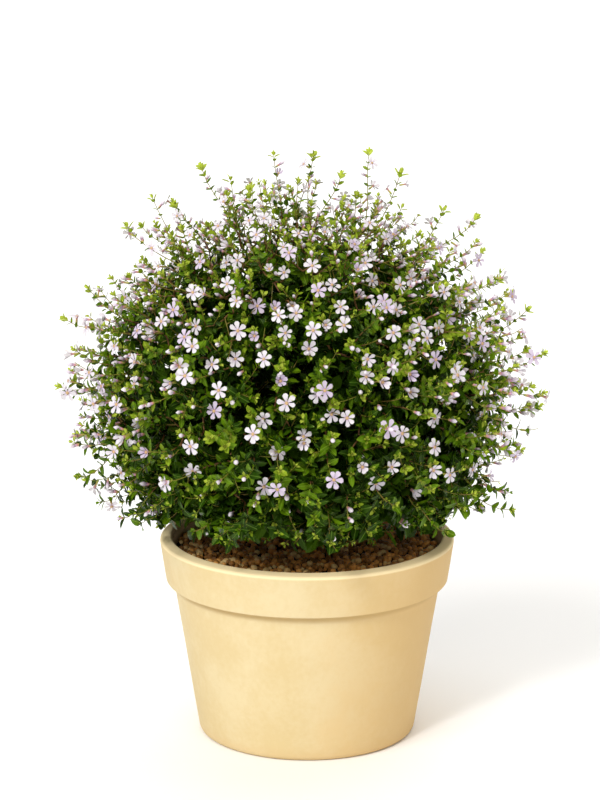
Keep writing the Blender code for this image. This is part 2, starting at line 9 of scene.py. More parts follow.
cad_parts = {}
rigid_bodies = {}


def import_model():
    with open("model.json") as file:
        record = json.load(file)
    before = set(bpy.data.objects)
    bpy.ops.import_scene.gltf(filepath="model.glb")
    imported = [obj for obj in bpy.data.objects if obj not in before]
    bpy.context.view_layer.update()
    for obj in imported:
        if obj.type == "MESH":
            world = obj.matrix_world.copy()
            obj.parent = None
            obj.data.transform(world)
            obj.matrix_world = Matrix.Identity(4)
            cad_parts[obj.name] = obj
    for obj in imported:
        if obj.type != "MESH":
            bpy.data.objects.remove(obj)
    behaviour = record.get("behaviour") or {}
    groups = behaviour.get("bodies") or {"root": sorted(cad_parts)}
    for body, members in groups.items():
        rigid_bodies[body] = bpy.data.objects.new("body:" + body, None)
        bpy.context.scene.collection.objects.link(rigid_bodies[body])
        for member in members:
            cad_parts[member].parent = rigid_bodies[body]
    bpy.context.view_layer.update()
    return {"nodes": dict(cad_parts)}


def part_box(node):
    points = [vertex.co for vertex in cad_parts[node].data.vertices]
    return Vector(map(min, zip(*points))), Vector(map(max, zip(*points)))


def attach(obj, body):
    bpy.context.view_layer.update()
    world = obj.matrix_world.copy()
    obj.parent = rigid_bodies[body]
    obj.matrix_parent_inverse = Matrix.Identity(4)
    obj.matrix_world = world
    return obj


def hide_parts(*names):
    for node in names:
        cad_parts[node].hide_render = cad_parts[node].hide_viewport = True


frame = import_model()
print("frame loaded:", len(frame["nodes"]), "nodes")

up = Vector((0.0, 0.0, 1.0))
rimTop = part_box("pot")[1].z
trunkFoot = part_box("trunk")[0].z
soilTop = trunkFoot - 0.0003     # the trunk stands a hair clear of the growing medium


# Small helpers

def clamp(value):
    return min(1.0, max(0.0, value))


def ramp(value, zero, one):
    return clamp((value - zero) / (one - zero))


def blend(first, second, share):
    return first + (second - first) * share


def addObject(name, data):
    obj = bpy.data.objects.new(name, data)
    bpy.context.scene.collection.objects.link(obj)
    return obj


def newMesh(name, verts, faces=()):
    mesh = bpy.data.meshes.new(name)
    mesh.from_pydata([tuple(place) for place in verts], [], faces)
    return mesh


def meshFrom(bm, name):
    mesh = bpy.data.meshes.new(name)
    bm.to_mesh(mesh)
    bm.free()
    return mesh


def anglesOf(steps):
    return [math.tau * step / steps for step in range(steps)]


def offAxis(place):
    return math.hypot(place.x, place.y)


def ringFaces(base, rings, sides):
    # the wall of a turned or swept body, with a cap at each end
    faces = []
    for ring in range(rings - 1):
        for step in range(sides):
            first = base + ring * sides + step
            second = base + ring * sides + (step + 1) % sides
            faces.append((first, second, second + sides, first + sides))
    faces.append([base + step for step in reversed(range(sides))])
    faces.append([base + (rings - 1) * sides + step for step in range(sides)])
    return faces


def frozen(obj):
    # what the modifiers make becomes a plain mesh in an object of its own
    bpy.context.view_layer.update()
    graph = bpy.context.evaluated_depsgraph_get()
    mesh = bpy.data.meshes.new_from_object(obj.evaluated_get(graph))
    mesh.name = name = obj.name
    bpy.data.objects.remove(obj)
    return addObject(name, mesh)


def settle(piece, material=None):
    if material is not None:
        piece.data.materials.clear()
        piece.data.materials.append(material)
    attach(piece, "root")
    return piece


# Nodes

def fill(tree, made, values):
    # each value is a link from another node, a colour or a plain setting
    for key, value in values.items():
        socket = made.inputs[key]
        if isinstance(value, bpy.types.NodeSocket):
            tree.links.new(value, socket)
        elif socket.type == "RGBA":
            socket.default_value = (*value, 1.0)
        else:
            socket.default_value = value


def node(tree, kind, settings=None, values=None):
    made = tree.nodes.new(kind)
    for key, value in (settings or {}).items():
        setattr(made, key, value)
    fill(tree, made, values or {})
    return made


def newGroup(name, kind, takes, gives):
    # a node group with its named inputs and outputs
    group = bpy.data.node_groups.new(name, kind)
    for way, sockets in (("INPUT", takes), ("OUTPUT", gives)):
        for title, socket in sockets.items():
            group.interface.new_socket(title, in_out=way, socket_type="NodeSocket" + socket)
    return group, node(group, "NodeGroupInput").outputs, node(group, "NodeGroupOutput")


def maths(tree, operation, *values):
    return node(tree, "ShaderNodeMath", {"operation": operation}, dict(enumerate(values))).outputs[0]


def mixColour(tree, share, first, second):
    mix = node(tree, "ShaderNodeMix", {"data_type": "RGBA"}, {0: share, 6: first, 7: second})
    return mix.outputs[2]


def remap(tree, value, fromLow, fromHigh, toLow=0.0, toHigh=1.0, kind="LINEAR"):
    numbers = {0: value, 1: fromLow, 2: fromHigh, 3: toLow, 4: toHigh}
    return node(tree, "ShaderNodeMapRange", {"interpolation_type": kind}, numbers).outputs[0]


def fade(tree, value, *stops):
    return remap(tree, value, *stops, kind="SMOOTHSTEP")


def splitOf(tree, vector):
    return node(tree, "ShaderNodeSeparateXYZ", None, {0: vector}).outputs


def onPattern(tree):
    # u runs along a small part, v across it
    place = node(tree, "ShaderNodeUVMap", {"uv_map": "UVMap"}).outputs[0]
    return splitOf(tree, place)[:2]


def clouds(tree, place, scale, detail, roughness):
    values = {"Vector": place, "Scale": scale, "Detail": detail, "Roughness": roughness}
    return node(tree, "ShaderNodeTexNoise", None, values).outputs[0]


def mottleGroup():
    # cloudy colour between two tones, with finer specks in it
    takes = {"First": "Color", "Second": "Color"}
    takes.update({name: "Float" for name in ("Cloud Scale", "Speck Scale", "Speck Share")})
    group, enter, leave = newGroup("mottle", "ShaderNodeTree", takes, {"Colour": "Color", "Cloud": "Float"})
    place = node(group, "ShaderNodeTexCoord").outputs["Object"]
    clouded = fade(group, clouds(group, place, enter["Cloud Scale"], 5.0, 0.55), 0.36, 0.64)
    specked = remap(group, clouds(group, place, enter["Speck Scale"], 2.0, 0.6), 0.3, 0.7, -0.5, 0.5)
    share = node(group, "ShaderNodeMath", {"operation": "MULTIPLY_ADD", "use_clamp": True}, {
        0: specked, 1: enter["Speck Share"], 2: clouded,
    }).outputs[0]
    fill(group, leave, {"Colour": mixColour(group, share, enter["First"], enter["Second"]), "Cloud": share})
    return group


def grainGroup():
    # fine surface relief as a normal
    takes = {"Scale": "Float", "Depth": "Float", "Strength": "Float"}
    group, enter, leave = newGroup("grain", "ShaderNodeTree", takes, {"Normal": "Vector"})
    place = node(group, "ShaderNodeTexCoord").outputs["Object"]
    bump = node(group, "ShaderNodeBump", None, {
        "Height": clouds(group, place, enter["Scale"], 4.0, 0.6),
        "Distance": enter["Depth"], "Strength": enter["Strength"],
    })
    fill(group, leave, {"Normal": bump.outputs[0]})
    return group


mottle = mottleGroup()
grain = grainGroup()


def newFinish(name, roughness, preview):
    material = bpy.data.materials.new(name)
    material.use_nodes = True
    material.diffuse_color = (*preview, 1.0)
    tree = material.node_tree
    shader = tree.nodes["Principled BSDF"]
    fill(tree, shader, {"Roughness": roughness})
    return material, tree, shader


def grouped(tree, group, *values):
    # mottle takes two tones, cloud scale, speck scale and speck share; grain takes scale, depth and strength
    return node(tree, "ShaderNodeGroup", {"node_tree": group}, dict(enumerate(values))).outputs


def paleUndersideAndBacklight(tree, colour, under, share):
    # the colour of the underside mixed in where a blade or petal is seen from behind: the leaves' own paler
    # undersides, and on the petals painted light that brightens their backs as if lit through
    behind = maths(tree, "MULTIPLY", node(tree, "ShaderNodeNewGeometry").outputs["Backfacing"], share)
    return mixColour(tree, behind, colour, under)


def mottledFinish(name, first, second, mottling, roughness, relief):
    # a plain matt finish: cloudy colour, roughness that follows it, and grain
    material, tree, shader = newFinish(name, roughness, first)
    colour, mask = grouped(tree, mottle, first, second, *mottling)
    fill(tree, shader, {
        "Base Color": colour, "Normal": grouped(tree, grain, *relief)[0],
        "Roughness": remap(tree, mask, 0.0, 1.0, roughness - 0.06, min(1.0, roughness + 0.06)),
    })
    return material


# Growth: the crown's rule, as the solids follow it, carried on to finer twigs

crown = {
    "centre": Vector((-0.006, 0.0, 0.237)),
    "radius": 0.157, "halfHeight": 0.142,
    "heart": 0.42,
    # name, count, elevation, first azimuth, share of the trunk below the bough
    "rings": (("top", 1, 90.0, 0.0, 1.0), ("shoulder", 5, 37.0, 18.0, 0.78), ("skirt", 7, -7.0, -77.0, 0.48)),
    "stagger": 0.15,
    "clearance": 0.0055,
    "riseStart": 0.02, "rise": 0.09, "riseFront": 0.165, "frontGain": 1.4,
    "overRim": (0.048, 0.076),
}


def direction(azimuth, elevation):
    level = math.cos(elevation)
    return Vector((math.cos(azimuth) * level, math.sin(azimuth) * level, math.sin(elevation)))


def inCrown(side):
    return Vector((side.x / crown["radius"], side.y / crown["radius"], side.z / crown["halfHeight"])).length


def crownPoint(heading, share):
    return crown["centre"] + heading * (share / inCrown(heading))


def crownShare(place):
    return inCrown(place - crown["centre"])


def underside(place):
    # the lowest that foliage hangs: near the soil in the pot, over the rim outside it, lifted in front
    radius = offAxis(place)
    inPot = soilTop + crown["clearance"]
    frontness = max(0.0, -place.y / radius) if radius else 0.0
    rise = crown["rise"] + crown["riseFront"] * min(1.0, crown["frontGain"] * frontness)
    lifted = inPot + rise * max(0.0, radius - crown["riseStart"])
    return max(lifted, blend(inPot, rimTop + crown["clearance"], ramp(radius, *crown["overRim"])))


def massHeadings():
    masses = []
    for ring, count, elevation, first, share in crown["rings"]:
        for index in range(count):
            azimuth = math.radians(first + 360.0 * index / count)
            masses.append({
                "name": ring if count == 1 else f"{ring}_{index + 1}",
                "heading": direction(azimuth, math.radians(elevation)),
                "share": share - (crown["stagger"] * (index % 2) if count > 1 else 0.0),
                "tips": [],
            })
    return masses


growth = {
    "shoots": 800, "lowest": -0.76, "wander": 0.08,
    "leastShare": 0.75, "spread": 0.26, "deepest": 0.154,
    "eager": 0.24, "eagerReach": 0.055,
    "hang": 0.024,
    "forks": (0.5, 0.56, 0.61, 0.66, 0.7, 0.74, 0.77, 0.79),
    "stemRadius": 0.0019, "taper": 0.8, "thinnest": 0.00056, "tipRadius": 0.00026, "stemTaper": 0.85,
    "stemLength": 0.01, "stemSunk": 0.002,
    "lift": 0.65, "onward": 0.4, "shootSteps": 6, "limbSteps": 3, "woodySides": 4, "greenSides": 3,
    "longDepth": 0.035, "sightSlope": 0.24,
    "openTop": 0.78,
    "seed": 11,
}
# tips of the longest shoots, the solids' own ones first: distance right of the pot's centre, and height
longShoots = (
    (-0.07, 0.389), (-0.051, 0.382), (-0.0225, 0.401), (0.004, 0.397), (0.0225, 0.384), (0.041, 0.4),
    (0.061, 0.384), (0.091, 0.361), (0.113, 0.356), (-0.104, 0.371), (-0.16, 0.286), (-0.166, 0.24),
    (0.157, 0.263), (0.159, 0.227), (-0.157, 0.207), (0.143, 0.197), (0.119, 0.335), (0.131, 0.315),
    (0.149, 0.294), (0.152, 0.24), (0.138, 0.155), (-0.118, 0.348), (-0.131, 0.315), (-0.144, 0.306),
    (-0.149, 0.176), (-0.14, 0.16), (-0.038, 0.372), (-0.028, 0.371), (-0.006, 0.38), (-0.112, 0.352),
    (0.063, 0.363), (0.075, 0.359), (-0.088, 0.364), (0.033, 0.372),
)


def spreadHeadings(chance):
    # headings dealt evenly round the crown, down to the lowest
    golden = math.pi * (3.0 - math.sqrt(5.0))
    headings = []
    for index in range(growth["shoots"]):
        height = 1.0 - (1.0 - growth["lowest"]) * (index + 0.5) / growth["shoots"]
        azimuth = index * golden + chance.uniform(-growth["wander"], growth["wander"])
        headings.append(direction(azimuth, math.asin(height)))
    return headings


def dealTips(masses):
    chance = random.Random(growth["seed"])
    tips = []
    for x, z in longShoots:
        depth = chance.uniform(-growth["longDepth"], growth["longDepth"])
        tips.append((Vector((x, depth, z - growth["sightSlope"] * depth)), True))
    for heading in spreadHeadings(chance):
        share = growth["leastShare"] + growth["spread"] * chance.random()
        if chance.random() < growth["eager"]:
            share += growth["eagerReach"]
        tip = crownPoint(heading, share)
        tip.y = min(growth["deepest"], max(-growth["deepest"], tip.y))
        tip.z = max(tip.z, underside(tip) + chance.uniform(0.0, growth["hang"]))
        tips.append((tip, False))
    for tip, isLong in tips:
        nearest = max(masses, key=lambda mass: (tip - crown["centre"]).dot(mass["heading"]))
        nearest["tips"].append((tip, isLong))


def bent(start, leaving, end, arriving, steps):
    # a curve between two places with a heading at each
    reach = (end - start).length / 3.0
    first = start + leaving * reach
    second = end - arriving * reach
    path = []
    for step in range(steps + 1):
        t = step / steps
        s = 1.0 - t
        path.append(start * s ** 3 + first * (3 * s * s * t) + second * (3 * s * t * t) + end * t ** 3)
    return path


def limbOf(kind, path, radius, end, level=0, isLong=False):
    return {"kind": kind, "path": path, "radius": radius, "end": end, "level": level, "long": isLong}


def grow(base, leaving, tips, level, radius, limbs):
    # a limb towards the middle of its tips, forked on the next shell, until each tip has its shoot
    if len(tips) == 1:
        tip, isLong = tips[0]
        out = (tip - crown["centre"]).normalized()
        path = bent(base, leaving, tip, (out + up * growth["lift"]).normalized(), growth["shootSteps"])
        limbs.append(limbOf("shoot", path, radius, growth["tipRadius"], level, isLong))
        return
    middle = sum((tip for tip, isLong in tips), Vector()) / len(tips)
    out = (middle - crown["centre"]).normalized()
    end = crownPoint(out, growth["forks"][min(level, len(growth["forks"]) - 1)])
    arriving = (leaving * growth["onward"] + (end - base).normalized()).normalized()
    endRadius = max(growth["taper"] * radius, growth["thinnest"])
    path = bent(base, leaving, end, arriving, growth["limbSteps"])
    limbs.append(limbOf("limb", path, radius, endRadius, level))
    furthest = max(tips, key=lambda item: (item[0] - middle).length)[0]
    spread = (furthest - middle).normalized()
    ranked = sorted(tips, key=lambda item: (item[0] - middle).dot(spread))
    half = len(ranked) // 2
    for group in (ranked[:half], ranked[half:]):
        grow(end, arriving, group, level + 1, endRadius, limbs)


def along(path, share):
    # the place and heading at a share of a path
    position = share * (len(path) - 1)
    index = min(int(position), len(path) - 2)
    step = path[index + 1] - path[index]
    return path[index] + step * (position - index), step.normalized()


def acrossOf(heading, angle):
    seen = up if abs(heading.z) < 0.9 else Vector((1.0, 0.0, 0.0))
    side = heading.cross(seen).normalized()
    return side * math.cos(angle) + side.cross(heading).normalized() * math.sin(angle)


def pathLength(path):
    return sum((after - before).length for before, after in zip(path, path[1:]))


# Trunk and boughs with the bark's relief

wood = {
    "foot": Vector((-0.003, 0.002, trunkFoot)),
    "head": Vector((-0.006, 0.0, 0.174)),
    "footRadius": 0.0092, "headRadius": 0.0064,
    "trunkSteps": 26, "trunkSides": 36, "footward": 1.3,
    "flareHeight": 0.012, "flareShare": 0.45, "flareLobes": 5, "lobeShare": 0.4,
    "boughBase": 0.0026, "boughTip": 0.0019, "boughRise": 35.0,
    "boughSteps": 24, "boughSides": 12, "collar": 0.75, "collarSteps": 5,
    "ridge": 0.1, "ridges": 9, "ridgeTurn": 60.0, "twist": 1.4, "twistScale": 120.0,
    "pit": 0.05, "pitOut": 0.01, "pitScale": 420.0,
}


def tube(verts, faces, path, radii, sides):
    # a closed tapering tube with the bark's relief
    faces += ringFaces(len(verts), len(path), sides)
    side = acrossOf((path[1] - path[0]).normalized(), 0.0)
    for index, (place, radius) in enumerate(zip(path, radii)):
        before = path[max(0, index - 1)]
        after = path[min(len(path) - 1, index + 1)]
        heading = (after - before).normalized()
        side = (side - heading * side.dot(heading)).normalized()
        other = heading.cross(side)
        for angle in anglesOf(sides):
            out = side * math.cos(angle) + other * math.sin(angle)
            verts.append(place + out * radius * barkRough(place, out, angle))


def barkRough(place, out, angle):
    low = max(0.0, 1.0 - (place.z - wood["foot"].z) / wood["flareHeight"]) ** 2
    flare = low * wood["flareShare"] * (1.0 + wood["lobeShare"] * math.cos(wood["flareLobes"] * angle))
    twist = noise.noise(place * wood["twistScale"]) * wood["twist"]
    ridge = abs(math.sin(0.5 * wood["ridges"] * angle + twist + place.z * wood["ridgeTurn"]))
    pit = noise.noise((place + out * wood["pitOut"]) * wood["pitScale"])
    return 1.0 + flare + wood["ridge"] * (ridge - 0.5) + wood["pit"] * pit


def boughPath(mass, steps=12):
    tip = crownPoint(mass["heading"], crown["heart"])
    start = wood["foot"].lerp(wood["head"], mass["share"])
    leaving = (wood["head"] - wood["foot"]).normalized()
    if mass["share"] < 1.0:
        leaving = direction(math.atan2(mass["heading"].y, mass["heading"].x), math.radians(wood["boughRise"]))
    control = start + leaving * (0.5 * (tip - start).length)
    path = []
    for step in range(steps + 1):
        t = step / steps
        path.append(start.lerp(control, t).lerp(control.lerp(tip, t), t))
    return path


def makeWood(masses, material):
    verts, faces = [], []
    shares = [(step / wood["trunkSteps"]) ** wood["footward"] for step in range(wood["trunkSteps"] + 1)]
    path = [wood["foot"].lerp(wood["head"], share) for share in shares]
    radii = [blend(wood["footRadius"], wood["headRadius"], share) for share in shares]
    tube(verts, faces, path, radii, wood["trunkSides"])
    steps = wood["boughSteps"]
    for mass in masses:
        radii = [blend(wood["boughBase"], wood["boughTip"], step / steps) for step in range(steps + 1)]
        if mass["share"] == 1.0:
            collar = wood["collar"] * wood["headRadius"]
            for step in range(wood["collarSteps"]):
                radii[step] = blend(collar, wood["boughBase"], step / wood["collarSteps"])
        tube(verts, faces, boughPath(mass, steps), radii, wood["boughSides"])
    piece = addObject("trunkAndBoughs", newMesh("trunkAndBoughs", verts, faces))
    piece.data.shade_smooth()
    settle(piece, material)
    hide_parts("trunk", *[f"bough_{mass['name']}" for mass in masses])


# Geometry Nodes sweep the twigs along their paths and set leaves, flowers, buds and granules on their places

def endTree(tree, enter, leave, shape):
    # each tree ends in real geometry with its finish
    real = node(tree, "GeometryNodeRealizeInstances", None, {0: shape})
    values = {"Geometry": real.outputs[0], "Material": enter["Finish"]}
    fill(tree, leave, {0: node(tree, "GeometryNodeSetMaterial", None, values).outputs[0]})
    return tree


def sweepTree():
    takes = {"Geometry": "Geometry", "Sides": "Int", "Finish": "Material"}
    tree, enter, leave = newGroup("sweepTwigs", "GeometryNodeTree", takes, {"Geometry": "Geometry"})
    ring = node(tree, "GeometryNodeCurvePrimitiveCircle", {"mode": "RADIUS"}, {
        "Resolution": enter["Sides"], "Radius": 1.0,
    })
    sweep = node(tree, "GeometryNodeCurveToMesh", None, {
        "Curve": enter["Geometry"], "Profile Curve": ring.outputs[0],
        "Scale": node(tree, "GeometryNodeInputRadius").outputs[0], "Fill Caps": True,
    })
    return endTree(tree, enter, leave, sweep.outputs[0])


def scatterTree():
    takes = {"Geometry": "Geometry", "Patterns": "Collection", "Finish": "Material"}
    tree, enter, leave = newGroup("setOnPlaces", "GeometryNodeTree", takes, {"Geometry": "Geometry"})
    patterns = node(tree, "GeometryNodeCollectionInfo", None, {
        "Collection": enter["Patterns"], "Separate Children": True, "Reset Children": True,
    })
    turn, size, shape = [
        node(tree, "GeometryNodeInputNamedAttribute", {"data_type": kind}, {"Name": name}).outputs[0]
        for name, kind in (("turn", "QUATERNION"), ("size", "FLOAT_VECTOR"), ("shape", "INT"))
    ]
    placed = node(tree, "GeometryNodeInstanceOnPoints", None, {
        "Points": enter["Geometry"], "Instance": patterns.outputs[0], "Pick Instance": True,
        "Instance Index": shape, "Rotation": turn, "Scale": size,
    })
    return endTree(tree, enter, leave, placed.outputs[0])


sweep = sweepTree()
scatter = scatterTree()


def build(name, data, tree, values):
    # the plain mesh that a tree makes of the data
    obj = addObject(name, data)
    modifier = obj.modifiers.new(tree.name, "NODES")
    modifier.node_group = tree
    for item in tree.interface.items_tree:
        if item.item_type == "SOCKET" and item.in_out == "INPUT" and item.name in values:
            modifier[item.identifier] = values[item.name]
    return frozen(obj)


def makeTwigs(name, runs, sides, material):
    # runs are (path, radius at the start, radius at the end)
    curve = bpy.data.curves.new(name, "CURVE")
    curve.dimensions = "3D"
    for path, first, last in runs:
        spline = curve.splines.new("POLY")
        spline.points.add(len(path) - 1)
        for index, place in enumerate(path):
            spline.points[index].co = (*place, 1.0)
            spline.points[index].radius = blend(first, last, index / (len(path) - 1))
    piece = build(name, curve, sweep, {"Sides": sides, "Finish": material})
    piece.data.shade_smooth()
    return piece


def turnOf(xAxis, zAxis):
    # the turn that lays a pattern's X and Z along two headings
    z = (zAxis - xAxis * zAxis.dot(xAxis)).normalized()
    y = z.cross(xAxis)
    return Matrix((xAxis, y, z)).transposed().to_quaternion()


def makeScatter(name, items, patterns, material):
    # items are (place, turn, size, shape)
    mesh = newMesh(name, [item[0] for item in items])
    turns = [number for item in items for number in item[1]]
    mesh.attributes.new("turn", "QUATERNION", "POINT").data.foreach_set("value", turns)
    sizes = [number for item in items for number in item[2]]
    mesh.attributes.new("size", "FLOAT_VECTOR", "POINT").data.foreach_set("vector", sizes)
    mesh.attributes.new("shape", "INT", "POINT").data.foreach_set("value", [item[3] for item in items])
    piece = build(name, mesh, scatter, {"Patterns": patterns, "Finish": material})
    triangles = sum(len(face.vertices) - 2 for face in piece.data.polygons)
    print("  ", name, len(items), "items,", triangles, "triangles")
    return piece


# Patterns of the small parts

def patternSet(name, make, shapes):
    collection = bpy.data.collections.new(name)
    for index, shape in enumerate(shapes):
        pattern = f"{name}{index}"
        collection.objects.link(bpy.data.objects.new(pattern, make(pattern, *shape)))
    return collection


def patternMesh(name, verts, faces, uvs):
    mesh = newMesh(name, verts, faces)
    layer = mesh.uv_layers.new(name="UVMap")
    for loop in mesh.loops:
        layer.data[loop.index].uv = uvs[loop.vertex_index]
    mesh.shade_smooth()
    return mesh


def leafPattern(name, stations, width, fold, droop, twist):
    # stations are (share along, share of the half width); the blade folds up from its midrib
    verts, uvs, rows = [], [], []
    for share, half in stations:
        reach = half * width / 2.0
        lean = twist * share
        rows.append([len(verts) + (step if half else 0) for step in range(3)])
        for way in (-1, 0, 1) if half else (0,):
            raised = abs(way) * reach * (fold + way * lean)
            verts.append((share, way * reach, raised - droop * share * share))
            uvs.append((share, 0.5 + way * half / 2))
    faces = []
    for low, high in zip(rows, rows[1:]):
        for k in (0, 1):
            faces.append(list(dict.fromkeys((low[k + 1], low[k], high[k], high[k + 1]))))
    mesh = patternMesh(name, verts, faces, uvs)
    middle = {row[1] for row in rows}
    sharp = mesh.attributes.new("sharp_edge", "BOOLEAN", "EDGE")
    for edge in mesh.edges:
        sharp.data[edge.index].value = set(edge.vertices) <= middle
    return mesh


flower = {
    "radius": 0.0062, "throat": 0.001, "petalWidth": 0.0035,
    "tubeLength": 0.0062, "budOut": 0.0042,
    "outline": ((0.0, 0.28), (0.4, 0.7), (0.76, 1.0), (1.0, 0.46)),
    "turn": 0.12, "wave": 0.0007, "droop": 0.1, "hollow": 0.12,
}


def petalsPattern(name, lift, cup, sizes, seed):
    # six obovate petals round a throat, laid back or drawn forward by lift
    chance = random.Random(seed)
    verts, uvs, faces = [], [], []
    for petal, scale in enumerate(sizes):
        angle = math.tau * petal / len(sizes) + chance.uniform(-flower["turn"], flower["turn"])
        out = Vector((math.cos(angle), math.sin(angle), 0.0))
        side = Vector((-out.y, out.x, 0.0))
        length = (flower["radius"] - flower["throat"]) * scale
        wave = chance.uniform(-flower["wave"], flower["wave"])
        droop = chance.uniform(-flower["droop"], flower["droop"])
        rows = []
        for share, half in flower["outline"]:
            reach = half * flower["petalWidth"] * 0.5 * scale
            level = (lift + droop) * share * length + cup * share * share * length
            middle = out * (flower["throat"] + share * length * math.cos(lift)) + up * level
            rows.append([len(verts) + step for step in range(3)])
            for way in (-1, 0, 1):
                raised = abs(way) * flower["hollow"] * reach - way * wave * share
                verts.append(middle + side * (way * reach) + up * raised)
                uvs.append((share, 0.5 + way * half / 2))
        for low, high in zip(rows, rows[1:]):
            faces += [(low[k], high[k], high[k + 1], low[k + 1]) for k in (0, 1)]
    return patternMesh(name, verts, faces, uvs)


def turnedPattern(name, outline, sides):
    # a small turned body along Z with a UV from its first to its last ring
    verts, uvs = [], []
    for index, (radius, height) in enumerate(outline):
        for angle in anglesOf(sides):
            verts.append((radius * math.cos(angle), radius * math.sin(angle), height))
            uvs.append((index / (len(outline) - 1), 0.5))
    return patternMesh(name, verts, ringFaces(0, len(outline), sides), uvs)


granule = {
    # scale, step from lump to lump, share of the radius
    "bump": (1.3, 7.1, 0.26),
    "fine": (3.1, 3.7, 0.09),
    "flat": 0.92,
}


def granulePattern(name, seed):
    # a lump of a few faces: a cube cut once and rounded
    bm = bmesh.new()
    bmesh.ops.create_cube(bm, size=2.0)
    bmesh.ops.subdivide_edges(bm, edges=bm.edges, cuts=1, use_grid_fill=True)
    bumpScale, bumpStep, bumpShare = granule["bump"]
    fineScale, fineStep, fineShare = granule["fine"]
    for vertex in bm.verts:
        out = vertex.co.normalized()
        bump = noise.noise(out * bumpScale + Vector((seed * bumpStep, 0.0, 0.0)))
        fine = noise.noise(out * fineScale + Vector((0.0, seed * fineStep, 0.0)))
        vertex.co = out * (1.0 + bumpShare * bump + fineShare * fine)
        vertex.co.z *= granule["flat"]
    mesh = meshFrom(bm, name)
    mesh.shade_smooth()
    return mesh


# Finishes of the plant

blade = {
    "mottle": (70.0, 420.0, 0.35), "roughLess": 0.05, "roughMore": 0.08,
    "rib": (0.015, 0.075), "foot": (0.05, 0.55, 0.62, 0.0), "footTone": 0.3,
    "under": 1.9, "underLift": (0.014, 0.012, 0.0), "underShare": 0.7,
    "veinSlant": -0.9, "veins": 34.0, "veinDepth": 0.00012, "veinStrength": 0.5,
    "tint": (0.8, 1.0, 0.3),
}


def bladeFinish(name, base, shade, rib, roughness, ribShare, gloss):
    # a leaf's own colour, drifting to its shade colour, with a dark foot, a paler midrib and faint side
    # veins; the dark foot is partly the leaf's own tone and partly painted shade where the leaves of a whorl
    # overlap
    material, tree, shader = newFinish(name, roughness, base)
    colour, mask = grouped(tree, mottle, base, shade, *blade["mottle"])
    u, v = onPattern(tree)
    off = maths(tree, "ABSOLUTE", maths(tree, "SUBTRACT", v, 0.5))
    footTone = [blade["footTone"] * part for part in shade]
    colour = mixColour(tree, fade(tree, u, *blade["foot"]), colour, footTone)
    colour = mixColour(tree, fade(tree, off, *blade["rib"], ribShare, 0.0), colour, rib)
    under = [blade["under"] * part + lift for part, lift in zip(base, blade["underLift"])]
    slant = maths(tree, "MULTIPLY_ADD", off, blade["veinSlant"], u)
    bump = node(tree, "ShaderNodeBump", None, {
        "Height": maths(tree, "SINE", maths(tree, "MULTIPLY", slant, blade["veins"])),
        "Distance": blade["veinDepth"], "Strength": blade["veinStrength"],
    })
    rough = (roughness - blade["roughLess"], roughness + blade["roughMore"])
    fill(tree, shader, {
        "Base Color": paleUndersideAndBacklight(tree, colour, under, blade["underShare"]),
        "Roughness": remap(tree, mask, 0.0, 1.0, *rough), "Normal": bump.outputs[0],
        "Specular IOR Level": gloss, "Specular Tint": blade["tint"],
    })
    return material


petal = {
    "roughness": 0.62, "relief": (900.0, 0.0001, 0.4),
    "streaks": 40.0, "streak": (0.2, 1.0), "streakFade": (0.12, 0.78, 1.0, 0.0), "streakShare": 0.42,
    "flush": (0.0, 0.62, 0.6, 0.0), "flushTone": 0.55,
    # the petals' backs near white: painted light, as if lit through
    "under": (0.94, 0.89, 0.97), "underShare": 0.8,
}


def petalFinish(name, pale, deep):
    # pale at the tip, mauve streaks running out from the claw
    material, tree, shader = newFinish(name, petal["roughness"], pale)
    u, v = onPattern(tree)
    wave = maths(tree, "COSINE", maths(tree, "MULTIPLY", v, petal["streaks"]))
    streak = fade(tree, wave, *petal["streak"])
    streak = maths(tree, "MULTIPLY", streak, fade(tree, u, *petal["streakFade"]))
    flushTone = [blend(first, second, petal["flushTone"]) for first, second in zip(pale, deep)]
    colour = mixColour(tree, fade(tree, u, *petal["flush"]), pale, flushTone)
    colour = mixColour(tree, maths(tree, "MULTIPLY", streak, petal["streakShare"]), colour, deep)
    colour = paleUndersideAndBacklight(tree, colour, petal["under"], petal["underShare"])
    fill(tree, shader, {"Base Color": colour, "Normal": grouped(tree, grain, *petal["relief"])[0]})
    return material


def rampFinish(name, stops, roughness):
    # colours that follow one another along a small turned body
    material, tree, shader = newFinish(name, roughness, stops[0][1])
    colours = node(tree, "ShaderNodeValToRGB", None, {0: onPattern(tree)[0]})
    elements = colours.color_ramp.elements
    while len(elements) < len(stops):
        elements.new(0.5)
    for element, (share, colour) in zip(elements, stops):
        element.position = share
        element.color = (*colour, 1.0)
    relief = grouped(tree, grain, 700.0, 0.0001, 0.5)[0]
    fill(tree, shader, {"Base Color": colours.outputs[0], "Normal": relief})
    return material


# Leaves dealt along the shoots

